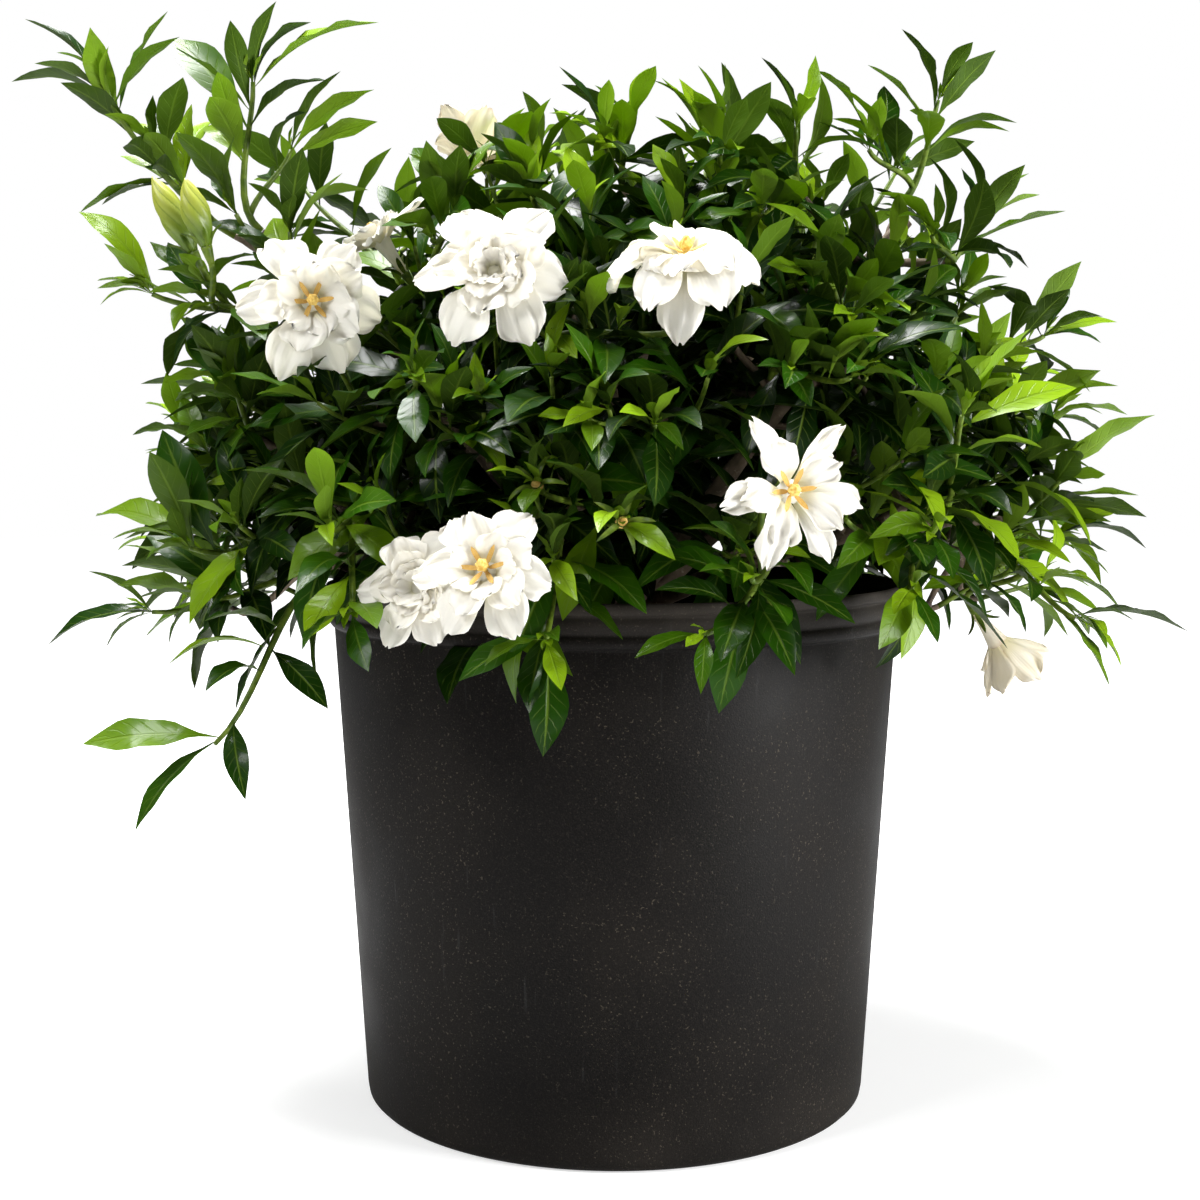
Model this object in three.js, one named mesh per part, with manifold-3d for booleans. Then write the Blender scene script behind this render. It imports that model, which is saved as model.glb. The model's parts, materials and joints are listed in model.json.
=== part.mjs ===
// A potted gardenia: a black nursery pot, its bark mix, a woody crown with its limbs, leafy green
// sprays, white double blooms with their yellow hearts, and a pair of buds.
// Millimetres, +Z up. The origin is the middle of the pot's underside.

import * as THREE from "three";
import { mergeVertices } from "three/addons/utils/BufferGeometryUtils.js";
import Module from "manifold-3d";

const wasm = await Module();
wasm.setup();

// The room between two pieces that meet, the grids that points may lie on, and the volume under
// which a loose scrap of a fused piece is dropped.
const SEAT_GAP = 0.3;
const GRIDS = [0.01, 0.005, 0.02, 0.003, 0.03, 0.001];
const SCRAP = 1;

// Pot and bark mix
const POT_HEIGHT = 250;
const POT_LIP_RADIUS = 140;
const POT_WALL_TOP_RADIUS = 136;
const POT_BASE_RADIUS = 122;
const POT_WALL = 1.6;
const POT_FLOOR = 3;
const POT_BAND = 20;
const POT_LIP_DEPTH = 5;
const POT_SIDES = 28;
const DRAIN_HOLES = 4;
const DRAIN_RADIUS = 6;
const DRAIN_RING_RADIUS = 86;
const MIX_LEVEL = 222;
const MIX_CROWN = 5;
const MIX_ROUGHNESS = 2.2;

// Wood
const CROWN_RADIUS = 14;
const CROWN_DEPTH = 28;
const CROWN_TOP = 238;
const CROWN_SIDES = 12;
const LIMB_START_RADIUS = 5;
const LIMB_END_RADIUS = 3.8;
const TWIG_START_RADIUS = 2.4;
const TWIG_END_RADIUS = 2.2;
const TWIG_SPREAD = 0.3;

// Green growth
const SHOOT_START_RADIUS = 2.3;
const SHOOT_END_RADIUS = 1.6;
const SHOOT_RISE = 0.35;
const STALK_RADIUS = 1.5;
const FORK_SHARE = 0.15;
const FORK_RADIUS = 1.95;
const STEM_EASE = 0.3;
const SWAY_STEP = 1.5;
const SWAY_LIMIT = 60;
const LEAF_LENGTH = 46;
const LEAF_WIDTH_SHARE = 0.34;
const LEAF_FOOT = 0.3;
const LEAF_ARCH = 0.09;
const LEAF_ROLL = 50;
const LEAF_CLEARANCE = 0.35;
const STEM_CLEARANCE = 0.25;
const STEM_SIDES = 3;
const STEM_STEPS = 2;
const ROOT_SPACING = 4;

// Along a leaf from its root: the share of its length, of its width, and the height of its rib.
const LEAF_STATIONS = [[0.36, 0.97, 2.2], [0.69, 0.84, 1.7]];

// Flowers
const TUBE_LENGTH = 20;
const TUBE_FOOT_RADIUS = 2.2;
const TUBE_MOUTH_RADIUS = 5;
const PETAL_THICKNESS = 1.4;
const PETAL_CUP = 0.2;
const PETAL_TWIST = 0.2;

// Along a petal from its root: the share of its length and of its width there.
const PETAL_STATIONS = [[0.45, 0.92], [0.84, 0.9]];
const ANTHER_REACH = 9;
const CLUB_HEIGHT = 9;
const SEPAL_LENGTH = 12;
const SEPAL_LEAN = 32;
const OLD_SEPAL_LEAN = 70;
const CALYX_HEIGHT = 6;
const CALYX_ROOT = 3;
const PETAL_SET_IN = 2.5;
const MOUTH_DEPTH = 0.2;
const CALYX_RADIUS = 2.6;
const BUD_RADIUS = 6.5;

// What a person in front of the plant sees, in a square view 1200 units wide and high. A place in
// it is [across, down, depth], the depth in millimetres and minus towards the viewer.
const VIEW = { middle: 600, focal: 1831.6, back: 893.3, height: 313.1, tilt: 0.0814, turn: -0.0081 };

// The limbs rise from the crown, in millimetres.
const LIMBS = [
  [[-8, 0, 234], [-48, 2, 300], [-105, 5, 360], [-160, 8, 400]],
  [[-7, -4, 235], [-60, -36, 262], [-122, -56, 278]],
  [[-4, -7, 235], [-35, -55, 280], [-70, -80, 325]],
  [[1, -8, 235], [0, -50, 290], [-2, -84, 340]],
  [[5, -7, 235], [35, -55, 280], [76, -78, 335]],
  [[8, -4, 235], [64, -40, 262], [122, -72, 280]],
  [[9, 0, 234], [75, 0, 295], [156, -2, 335]],
  [[7, 5, 234], [52, 12, 330], [105, 12, 385], [142, 12, 425]],
  [[1, 2, 234], [14, 4, 320], [22, 4, 385], [30, 2, 425]],
  [[-5, 3, 234], [-26, 10, 320], [-54, -4, 395]],
  [[-6, 6, 234], [-50, 45, 290], [-105, 65, 345]],
  [[0, 8, 234], [-8, 60, 290], [-18, 88, 360]],
  [[5, 8, 234], [48, 45, 290], [100, 64, 355]],
];

// Sprays in view: where each leaves its twig, and its shoots with the tips of their leaves.
const SEEN_SPRAYS = {
  left_peak: { base: [262, 232, -5], shoots: [
    { tip: [253, 82, -10], leaves: [[279, 3, -5], [233, 18, -25], [307, 11, 15], [379, 21, 20],
      [172, 45, -20], [171, 19, 10], [217, 70, -40], [325, 79, -35]] },
    { tip: [291, 150, 5], leaves: [[377, 93, 0], [374, 122, 20], [340, 70, -15], [311, 115, -35]] },
  ] },
  left_tip: { base: [236, 236, 5], shoots: [
    { tip: [108, 100, -15], leaves: [[22, 23, -20], [87, 29, -35], [167, 11, 0], [169, 24, -25],
      [14, 80, -5], [61, 82, -30]] },
    { tip: [158, 150, -5], leaves: [[187, 78, -30], [193, 102, 15], [117, 160, 10], [142, 135, -40]] },
  ] },
  left_shoulder: { base: [300, 300, -30], shoots: [
    { tip: [290, 232, -45], leaves: [[306, 148, -65], [344, 173, -50], [371, 189, -20],
      [201, 222, -30]] },
    { tip: [236, 214, -35], leaves: [[178, 131, -60]] },
  ] },
  left_arm: { base: [268, 312, -30], shoots: [
    { tip: [152, 294, -45], leaves: [[76, 214, -40], [156, 267, -70], [97, 291, -45],
      [153, 241, -25]] },
    { tip: [216, 302, -50], leaves: [[187, 283, -75]] },
  ] },
  left_bend: { base: [262, 440, -40], shoots: [
    { tip: [236, 392, -55], leaves: [[193, 325, -70], [176, 316, -45], [267, 350, -75],
      [223, 414, -30]] },
  ] },
  left_low: { base: [306, 545, -50], shoots: [
    { tip: [190, 548, -85], leaves: [[155, 448, -110], [124, 543, -90], [99, 508, -40],
      [164, 429, -70], [192, 442, -90]] },
    { tip: [240, 526, -95], leaves: [[289, 457, -125], [223, 440, -70]] },
  ] },
  left_reach: { base: [300, 572, -20], shoots: [
    { tip: [152, 612, -40], leaves: [[50, 650, -35], [118, 583, -60], [137, 561, -30],
      [146, 640, -10]] },
    { tip: [215, 598, -50], leaves: [[209, 616, -80]] },
  ] },
  trailing: { base: [330, 566, -70], shoots: [
    { tip: [215, 744, -120], leaves: [[82, 746, -130], [135, 832, -135], [251, 802, -140],
      [201, 695, -140], [201, 626, -125], [236, 712, -100]] },
  ] },
  front_left: { base: [360, 520, -90], shoots: [
    { tip: [330, 528, -140], leaves: [[313, 444, -165], [255, 520, -150], [395, 500, -165]] },
    { tip: [352, 612, -150], leaves: [[302, 640, -160], [400, 640, -178]] },
  ] },
  hanging: { base: [560, 540, -105], shoots: [
    { tip: [546, 640, -172], leaves: [[545, 757, -180], [524, 712, -185], [459, 684, -190],
      [592, 610, -180]] },
    { tip: [553, 560, -160], leaves: [[548, 520, -190], [575, 525, -175]] },
  ] },
  old_calyces: { base: [585, 505, -100], shoots: [
    { tip: [540, 489, -150], leaves: [[500, 478, -150], [560, 440, -160]], star: true },
    { tip: [620, 524, -165], leaves: [[668, 512, -175]], star: true },
  ] },
  rim_right: { base: [770, 560, -110], shoots: [
    { tip: [706, 634, -172], leaves: [[655, 592, -180], [722, 664, -185], [790, 625, -182]] },
    { tip: [752, 580, -170], leaves: [[706, 524, -190], [814, 600, -178]] },
  ] },
  rim_far_right: { base: [900, 540, -90], shoots: [
    { tip: [912, 590, -125], leaves: [[872, 649, -145], [902, 661, -130], [986, 626, -110]] },
    { tip: [846, 520, -150], leaves: [[838, 576, -170], [880, 560, -165]] },
  ] },
  right_front: { base: [935, 490, -80], shoots: [
    { tip: [930, 536, -135], leaves: [[857, 544, -155], [1009, 521, -140], [990, 590, -130]] },
    { tip: [962, 416, -125], leaves: [[1027, 326, -135], [1078, 395, -110], [951, 353, -145],
      [898, 391, -140]] },
  ] },
  right_low: { base: [1000, 560, -40], shoots: [
    { tip: [1075, 618, -60], leaves: [[1187, 630, -60], [1112, 686, -70], [1111, 646, -90],
      [1123, 607, -40]] },
    { tip: [984, 580, -70], leaves: [[1034, 605, -90], [1024, 634, -65]] },
  ] },
  right_sweep: { base: [1000, 520, -10], shoots: [
    { tip: [1050, 540, -20], leaves: [[1111, 517, -30], [1148, 547, -10], [1045, 473, -60]] },
    { tip: [1060, 480, -45], leaves: [[1154, 413, -60], [1139, 495, -40], [1075, 452, -75]] },
  ] },
  right_mid: { base: [990, 415, 0], shoots: [
    { tip: [1050, 418, 0], leaves: [[1118, 383, 0], [1127, 419, 15], [1075, 451, -20]] },
    { tip: [1012, 412, -40], leaves: [[1042, 374, -55], [1030, 450, -60]] },
  ] },
  right_high: { base: [990, 355, 0], shoots: [
    { tip: [1044, 336, 0], leaves: [[1084, 263, -5], [1119, 327, 10], [1034, 302, -40],
      [985, 289, -20]] },
  ] },
  right_top: { base: [945, 262, -5], shoots: [
    { tip: [932, 236, -40], leaves: [[930, 157, -60], [877, 189, -55], [986, 180, -45],
      [1068, 212, -20]] },
    { tip: [978, 222, 10], leaves: [[1040, 198, 20], [958, 138, 10]] },
  ] },
  right_peak: { base: [905, 200, 15], shoots: [
    { tip: [938, 100, 5], leaves: [[899, 29, -10], [994, 49, 0], [869, 65, 25], [1016, 119, 10]] },
    { tip: [869, 150, -10], leaves: [[835, 89, -25], [818, 68, 5], [882, 115, -35], [894, 85, 20]] },
  ] },
  top_right: { base: [800, 190, 0], shoots: [
    { tip: [796, 128, -25], leaves: [[778, 66, -30], [820, 76, -20], [763, 97, -45]] },
    { tip: [760, 215, -75], leaves: [[745, 163, -100], [777, 190, -100], [730, 205, -90]] },
  ] },
  top_mid: { base: [715, 185, 0], shoots: [
    { tip: [700, 130, -20], leaves: [[696, 67, -30], [722, 63, -5], [664, 76, -30]] },
    { tip: [720, 155, -50], leaves: [[772, 84, -60], [704, 158, -80], [663, 150, -70]] },
  ] },
  top_left: { base: [625, 190, 10], shoots: [
    { tip: [630, 125, -5], leaves: [[587, 99, -10], [620, 88, -30], [640, 90, 10]] },
    { tip: [604, 140, -30], leaves: [[568, 119, -40], [561, 153, -60], [628, 160, -70]] },
  ] },
  top_low_left: { base: [545, 230, -10], shoots: [
    { tip: [532, 197, -45], leaves: [[505, 134, -60], [480, 165, -60], [551, 184, -85]] },
    { tip: [535, 160, 10], leaves: [[493, 124, 5], [537, 125, -5], [470, 144, 10]] },
  ] },
  saddle: { base: [455, 240, -20], shoots: [
    { tip: [462, 200, -30], leaves: [[423, 141, -35], [457, 145, -55], [480, 150, -20],
      [409, 144, -10]] },
    { tip: [432, 240, -60], leaves: [[433, 174, -75], [394, 225, -85], [383, 225, -60]] },
  ] },
  front_upper: { base: [560, 350, -80], shoots: [
    { tip: [558, 335, -120], leaves: [[562, 265, -140], [580, 300, -145], [637, 257, -110]] },
    { tip: [618, 330, -110], leaves: [[590, 345, -140], [660, 345, -140]] },
  ] },
  front_mid_left: { base: [430, 410, -70], shoots: [
    { tip: [415, 380, -130], leaves: [[440, 350, -155], [375, 395, -145], [420, 440, -160]] },
    { tip: [470, 440, -130], leaves: [[470, 370, -150], [510, 455, -165], [430, 480, -165]] },
  ] },
  front_mid: { base: [640, 420, -90], shoots: [
    { tip: [655, 425, -150], leaves: [[655, 505, -180], [645, 370, -165], [610, 440, -180],
      [700, 430, -180]] },
    { tip: [590, 420, -145], leaves: [[560, 380, -165], [545, 440, -170], [600, 475, -180]] },
  ] },
  front_right: { base: [770, 380, -80], shoots: [
    { tip: [790, 375, -135], leaves: [[746, 312, -150], [778, 390, -165], [820, 330, -150]] },
    { tip: [850, 378, -130], leaves: [[806, 306, -145], [868, 319, -150], [892, 334, -150],
      [966, 327, -130]] },
  ] },
  front_high_right: { base: [830, 290, -50], shoots: [
    { tip: [812, 278, -95], leaves: [[809, 222, -115], [803, 256, -130], [777, 260, -110],
      [840, 230, -110]] },
    { tip: [850, 318, -110], leaves: [[853, 273, -130], [914, 309, -120], [942, 263, -100]] },
  ] },
};

// Sprays behind, in millimetres: their shoots carry whorls of leaves by rule.
const BACK_SPRAYS = {
  back_left: { base: [-140, 75, 335], tips: [[-218, 120, 345], [-185, 165, 300]] },
  back_left_high: { base: [-110, 65, 395], tips: [[-168, 105, 455], [-115, 150, 435]] },
  back_mid: { base: [-35, 125, 345], tips: [[-70, 215, 350], [5, 225, 325]] },
  back_mid_high: { base: [-10, 85, 405], tips: [[-40, 125, 475], [35, 160, 445]] },
  back_right: { base: [130, 85, 345], tips: [[215, 125, 350], [165, 185, 315]] },
  back_right_high: { base: [105, 65, 400], tips: [[150, 100, 462], [95, 150, 440]] },
  back_low_left: { base: [-85, 95, 280], tips: [[-160, 170, 262], [-85, 215, 275]] },
  back_low_right: { base: [80, 100, 285], tips: [[60, 220, 272], [150, 165, 262]] },
};
const BACK_LEAVES_PER_SHOOT = 6;

// Blooms: the middle of the flower, the way it faces, its reach and the spray that carries it.
const BLOOMS = {
  left: { at: [313, 299, -105], faces: [0.25, -0.95, 0.15], reach: 33, form: "open", on: "left_shoulder" },
  middle: { at: [492, 264, -135], faces: [-0.1, -0.9, 0.35], reach: 33, form: "double", on: "front_upper" },
  right: { at: [686, 240, -130], faces: [0, -0.45, 0.9], reach: 36, form: "open", on: "front_upper" },
  lower_right: { at: [795, 490, -178], faces: [0.25, -0.95, 0.1], reach: 31, form: "star", on: "rim_right" },
  rim_near: { at: [413, 584, -165], faces: [-0.3, -0.9, 0.25], reach: 26, form: "double", on: "front_left" },
  rim_bright: { at: [482, 565, -190], faces: [-0.2, -0.85, 0.45], reach: 28, form: "open", on: "hanging" },
  far_left: { at: [372, 228, 0], faces: [-0.5, -0.1, 0.7], reach: 30, form: "star", on: "saddle" },
  saddle_top: { at: [470, 152, 60], faces: [0.1, 0.6, 0.75], reach: 30, form: "old", on: "saddle" },
  hanging_old: { at: [1003, 650, 0], faces: [0.55, 0.25, -0.7], reach: 27, form: "old", on: "right_low" },
  behind: { at: [640, 330, 250], faces: [-0.1, 0.9, 0.35], reach: 32, form: "double", on: "back_mid" },
};

// Each layer of petals: how many, their length and width as shares of the bloom's reach, and the
// angle from the flower's axis at which a petal leaves the mouth and at which it ends.
const PETAL_LAYERS = {
  open: [
    { count: 6, length: 1, width: 0.5, leaves: 66, ends: 108 },
    { count: 5, length: 0.8, width: 0.46, leaves: 40, ends: 80 },
  ],
  double: [
    { count: 6, length: 1, width: 0.5, leaves: 66, ends: 104 },
    { count: 5, length: 0.8, width: 0.48, leaves: 42, ends: 70 },
    { count: 3, length: 0.56, width: 0.42, leaves: 14, ends: 34 },
  ],
  star: [
    { count: 6, length: 1.05, width: 0.4, leaves: 58, ends: 96 },
  ],
  old: [
    { count: 6, length: 1.05, width: 0.44, leaves: 30, ends: 44 },
  ],
};
const HAS_HEART = { open: true, double: false, star: true, old: false };

// The bud pair: where each bud leaves its calyx and where its point is.
const BUDS = {
  left: { foot: [193, 252, -62], point: [152, 176, -62] },
  right: { foot: [206, 246, -75], point: [185, 178, -78] },
};
const BUDS_ON = "left_arm";

// Finishes
const MATERIALS = {
  pot: new THREE.MeshStandardMaterial({ color: 0x17181a, roughness: 0.55, metalness: 0 }),
  mix: new THREE.MeshStandardMaterial({ color: 0x2b1d14, roughness: 0.95, metalness: 0 }),
  wood: new THREE.MeshStandardMaterial({ color: 0x5c4632, roughness: 0.85, metalness: 0 }),
  leaf: new THREE.MeshStandardMaterial({ color: 0x35501f, roughness: 0.4, metalness: 0 }),
  petal: new THREE.MeshStandardMaterial({ color: 0xf6f4ea, roughness: 0.6, metalness: 0 }),
  heart: new THREE.MeshStandardMaterial({ color: 0xd9a93a, roughness: 0.7, metalness: 0 }),
};

const UP = new THREE.Vector3(0, 0, 1);
const vec = (p) => new THREE.Vector3(...p);
const radians = THREE.MathUtils.degToRad;

// A repeatable stream of draws between 0 and 1.
function draws(seed) {
  let state = seed;
  return () => {
    state = (state * 16807) % 2147483647;
    return state / 2147483647;
  };
}

// The place in millimetres of what is seen at [across, down] at that depth.
function seen([across, down, depth]) {
  const forward = new THREE.Vector3(Math.sin(VIEW.turn), Math.cos(VIEW.turn), 0);
  const right = new THREE.Vector3(Math.cos(VIEW.turn), -Math.sin(VIEW.turn), 0);
  const ray = forward.clone().multiplyScalar(Math.cos(VIEW.tilt)).addScaledVector(UP, -Math.sin(VIEW.tilt));
  const rise = forward.multiplyScalar(Math.sin(VIEW.tilt)).addScaledVector(UP, Math.cos(VIEW.tilt));
  ray.addScaledVector(right, (across - VIEW.middle) / VIEW.focal);
  ray.addScaledVector(rise, (VIEW.middle - down) / VIEW.focal);
  return new THREE.Vector3(0, -VIEW.back, VIEW.height).addScaledVector(ray, (depth + VIEW.back) / ray.y);
}

// A closed geometry as a solid, its points on a fine grid and with no zero-area faces.
function solidFrom(geometry, grid = GRIDS[0]) {
  geometry.deleteAttribute("normal");
  geometry.deleteAttribute("uv");
  const places = geometry.attributes.position.array;
  places.forEach((place, i) => { places[i] = Math.round(place / grid) * grid; });
  const merged = mergeVertices(geometry, grid / 10);
  const index = merged.index.array;
  const triVerts = [];
  for (let i = 0; i < index.length; i += 3) {
    const [a, b, c] = [index[i], index[i + 1], index[i + 2]];
    if (a !== b && b !== c && c !== a) triVerts.push(a, b, c);
  }
  return new wasm.Manifold(new wasm.Mesh({
    numProp: 3,
    vertProperties: new Float32Array(merged.attributes.position.array),
    triVerts: new Uint32Array(triVerts),
  }));
}

// Whether every edge of a solid lies between just two faces.
function isSimple(solid) {
  const merged = mergeVertices(geometryOf(solid), GRIDS[0] / 10);
  const index = merged.index.array;
  const uses = new Map();
  for (let i = 0; i < index.length; i++) {
    const next = index[i % 3 === 2 ? i - 2 : i + 1];
    const edge = Math.min(index[i], next) + "_" + Math.max(index[i], next);
    uses.set(edge, (uses.get(edge) ?? 0) + 1);
  }
  return [...uses.values()].every((count) => count === 2);
}

// A solid through rings of equal length, each anticlockwise about the way forward. Each end is a
// point where one is given, or else flat.
function loft(rings, { from = null, to = null } = {}) {
  const sides = rings[0].length;
  const places = rings.flat();
  const last = places.length - sides;
  const faces = [];
  for (let i = 0; i < rings.length - 1; i++) {
    for (let j = 0; j < sides; j++) {
      const [a, b] = [i * sides + j, i * sides + ((j + 1) % sides)];
      faces.push(a, b, b + sides, a, b + sides, a + sides);
    }
  }
  if (from) places.push(from);
  for (let j = 0; j < (from ? sides : sides - 2); j++) {
    if (from) faces.push((j + 1) % sides, j, places.length - 1);
    else faces.push(0, j + 2, j + 1);
  }
  if (to) places.push(to);
  for (let j = 0; j < (to ? sides : sides - 2); j++) {
    if (to) faces.push(last + j, last + ((j + 1) % sides), places.length - 1);
    else faces.push(last, last + j + 1, last + j + 2);
  }
  const geometry = new THREE.BufferGeometry().setFromPoints(places);
  geometry.setIndex(faces);
  return solidFrom(geometry);
}

// Two directions square to the one given, so that side x lift = forward.
function square(forward) {
  const helper = Math.abs(forward.z) < 0.9 ? UP : new THREE.Vector3(0, 1, 0);
  const side = helper.clone().cross(forward).normalize();
  return { side, lift: forward.clone().cross(side) };
}

// A round tapered stem along a curve. Its rings turn with it without twisting.
function stem(curve, steps, sides, startRadius, endRadius) {
  let { side } = square(curve.getTangent(0));
  const rings = [];
  for (let i = 0; i <= steps; i++) {
    const along = curve.getTangent(i / steps);
    side = side.clone().addScaledVector(along, -side.dot(along)).normalize();
    const lift = along.clone().cross(side);
    const radius = THREE.MathUtils.lerp(startRadius, endRadius, i / steps);
    const middle = curve.getPoint(i / steps);
    rings.push(Array.from({ length: sides }, (_, j) => middle.clone()
      .addScaledVector(side, radius * Math.cos((2 * Math.PI * j) / sides))
      .addScaledVector(lift, radius * Math.sin((2 * Math.PI * j) / sides))));
  }
  return loft(rings);
}

function geometryOf(solid) {
  const { numProp, vertProperties, triVerts } = solid.getMesh();
  const places = new Float32Array((vertProperties.length / numProp) * 3);
  for (let i = 0; i < places.length / 3; i++) {
    places.set(vertProperties.subarray(i * numProp, i * numProp + 3), i * 3);
  }
  const geometry = new THREE.BufferGeometry();
  geometry.setAttribute("position", new THREE.BufferAttribute(places, 3));
  geometry.setIndex(new THREE.BufferAttribute(new Uint32Array(triVerts), 1));
  return geometry;
}

// Solids fused into one body: a hollow that the fusing seals is filled, and a loose scrap dropped.
function join(solids) {
  const fused = solids.reduce((whole, next) => whole.add(next));
  for (const grid of GRIDS) {
    const bodies = solidFrom(geometryOf(fused), grid).decompose();
    const whole = bodies.reduce((largest, body) => (body.volume() > largest.volume() ? body : largest));
    if (bodies.some((body) => body !== whole && body.volume() > SCRAP)) throw new Error("a piece is loose");
    if (isSimple(whole)) return whole;
  }
  throw new Error("a fused piece has faces that meet along an edge");
}

// The pot: a thin tapered wall with a stepped band under a rounded lip, and drain holes.
function makePot() {
  const bandFoot = POT_HEIGHT - POT_BAND;
  const lipFoot = POT_HEIGHT - POT_LIP_DEPTH;
  const outline = [
    [0, 0], [POT_BASE_RADIUS - 4, 0], [POT_BASE_RADIUS, 6],
    [POT_WALL_TOP_RADIUS, bandFoot], [POT_WALL_TOP_RADIUS + 1.6, bandFoot + 1.5],
    [POT_WALL_TOP_RADIUS + 2.2, lipFoot], [POT_LIP_RADIUS, lipFoot + 1],
    [POT_LIP_RADIUS - 1, POT_HEIGHT], [POT_LIP_RADIUS - 4, POT_HEIGHT - 0.5],
    [POT_WALL_TOP_RADIUS - POT_WALL, bandFoot], [POT_BASE_RADIUS - POT_WALL, 8],
    [POT_BASE_RADIUS - POT_WALL - 4, POT_FLOOR], [0, POT_FLOOR],
  ];
  let pot = turned(outline, POT_SIDES);
  for (let i = 0; i < DRAIN_HOLES; i++) {
    const angle = (2 * Math.PI * (i + 0.5)) / DRAIN_HOLES;
    const drill = new THREE.CylinderGeometry(DRAIN_RADIUS, DRAIN_RADIUS, 4 * POT_FLOOR, 6);
    drill.rotateX(Math.PI / 2);
    drill.translate(DRAIN_RING_RADIUS * Math.cos(angle), DRAIN_RING_RADIUS * Math.sin(angle), 0);
    pot = pot.subtract(solidFrom(drill));
  }
  return pot;
}

// A solid of revolution about the upright axis, from an outline of [radius, height] that goes
// anticlockwise.
function turned(outline, sides) {
  const lathe = new THREE.LatheGeometry(outline.map(([r, z]) => new THREE.Vector2(r, z)), sides);
  lathe.rotateX(Math.PI / 2);
  return solidFrom(lathe);
}

// The bark mix fills the pot up to its level, heaped a little at the crown, and has a plain hole
// for the wood.
function makeMix() {
  const wallFoot = POT_BASE_RADIUS - POT_WALL - SEAT_GAP;
  const slope = (POT_WALL_TOP_RADIUS - POT_BASE_RADIUS) / (POT_HEIGHT - POT_BAND - 8);
  const wallTop = wallFoot + slope * (MIX_LEVEL - 8);
  const outline = [
    [0, POT_FLOOR + SEAT_GAP], [wallFoot - 4.2, POT_FLOOR + SEAT_GAP], [wallFoot, 8.4],
    [wallTop, MIX_LEVEL], [wallTop * 0.8, MIX_LEVEL + 1], [wallTop * 0.55, MIX_LEVEL + 2],
    [wallTop * 0.3, MIX_LEVEL + MIX_CROWN - 1], [0, MIX_LEVEL + MIX_CROWN],
  ];
  const lathe = new THREE.LatheGeometry(outline.map(([r, z]) => new THREE.Vector2(r, z)), POT_SIDES);
  lathe.rotateX(Math.PI / 2);
  const places = lathe.attributes.position;
  for (let i = 0; i < places.count; i++) {
    const [x, y, z] = [places.getX(i), places.getY(i), places.getZ(i)];
    const wave = Math.sin(x * 0.13 + 1) * Math.cos(y * 0.17 - 2) + Math.sin((x + 2 * y) * 0.07);
    if (z > MIX_LEVEL + 0.5) places.setZ(i, z + MIX_ROUGHNESS * wave * 0.5);
  }
  const hole = new THREE.CylinderGeometry(
    CROWN_RADIUS + SEAT_GAP, CROWN_RADIUS + SEAT_GAP, 2 * (CROWN_DEPTH + SEAT_GAP), CROWN_SIDES);
  hole.rotateX(Math.PI / 2);
  hole.translate(0, 0, MIX_LEVEL + MIX_CROWN);
  return solidFrom(lathe).subtract(solidFrom(hole));
}

const limbCurves = LIMBS.map((points) => new THREE.CatmullRomCurve3(points.map(vec)));

// The twig from the nearest limb to a spray's base. It leaves a limb below where it ends.
function twigCurve(base) {
  let best = null;
  for (const limb of limbCurves) {
    for (let step = 3; step <= 9; step++) {
      const foot = limb.getPoint(step / 10);
      const reach = foot.distanceTo(base) + Math.max(0, foot.z - base.z + 6);
      if (!best || reach < best.reach) best = { reach, foot, along: limb.getTangent(step / 10) };
    }
  }
  const { reach, foot, along } = best;
  const outward = new THREE.Vector3(base.x, base.y, 0).normalize();
  const ending = base.clone().sub(foot).normalize().addScaledVector(outward, TWIG_SPREAD).normalize();
  const first = foot.clone().lerp(base, STEM_EASE).addScaledVector(along, reach * 0.1);
  const second = base.clone().addScaledVector(ending, -reach * STEM_EASE);
  return new THREE.CubicBezierCurve3(foot, first, second, base);
}

// The crown in its hole, the limbs and a twig to each spray.
function makeWood(bases) {
  const crown = new THREE.CylinderGeometry(
    CROWN_RADIUS - 3, CROWN_RADIUS, CROWN_TOP - MIX_LEVEL - MIX_CROWN + CROWN_DEPTH, CROWN_SIDES);
  crown.rotateX(Math.PI / 2);
  crown.translate(0, 0, (CROWN_TOP + MIX_LEVEL + MIX_CROWN - CROWN_DEPTH) / 2);
  const pieces = [solidFrom(crown)];
  for (const curve of limbCurves) pieces.push(stem(curve, 3, STEM_SIDES, LIMB_START_RADIUS, LIMB_END_RADIUS));
  for (const base of bases) {
    pieces.push(stem(twigCurve(base), 2, STEM_SIDES, TWIG_START_RADIUS, TWIG_END_RADIUS));
  }
  return join(pieces);
}

// A green stem from a spray's base, on the line of its twig, to an end that it meets along a
// direction. Each further one of a spray forks off a little way up inside the first.
function greenCurve(spray, end, ending, sway) {
  const start = spray.trunk
    ? onStem(spray.trunk, FORK_SHARE * spray.pieces.length)
    : spray.base.clone().addScaledVector(spray.along, SEAT_GAP);
  const reach = start.distanceTo(end);
  const heading = spray.along.clone();
  if (spray.trunk) heading.multiplyScalar(0.5).addScaledVector(end.clone().sub(start), 1 / reach).normalize();
  const first = start.clone().addScaledVector(heading, reach * STEM_EASE);
  const second = end.clone().addScaledVector(ending, -reach * STEM_EASE).add(sway);
  return new THREE.CubicBezierCurve3(start, first, second, end);
}

// A place on a stem's middle line, which is straight between its rings.
function onStem(curve, share) {
  const ring = Math.min(STEM_STEPS - 1, Math.floor(share * STEM_STEPS));
  const next = curve.getPoint((ring + 1) / STEM_STEPS);
  return curve.getPoint(ring / STEM_STEPS).lerp(next, share * STEM_STEPS - ring);
}

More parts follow.
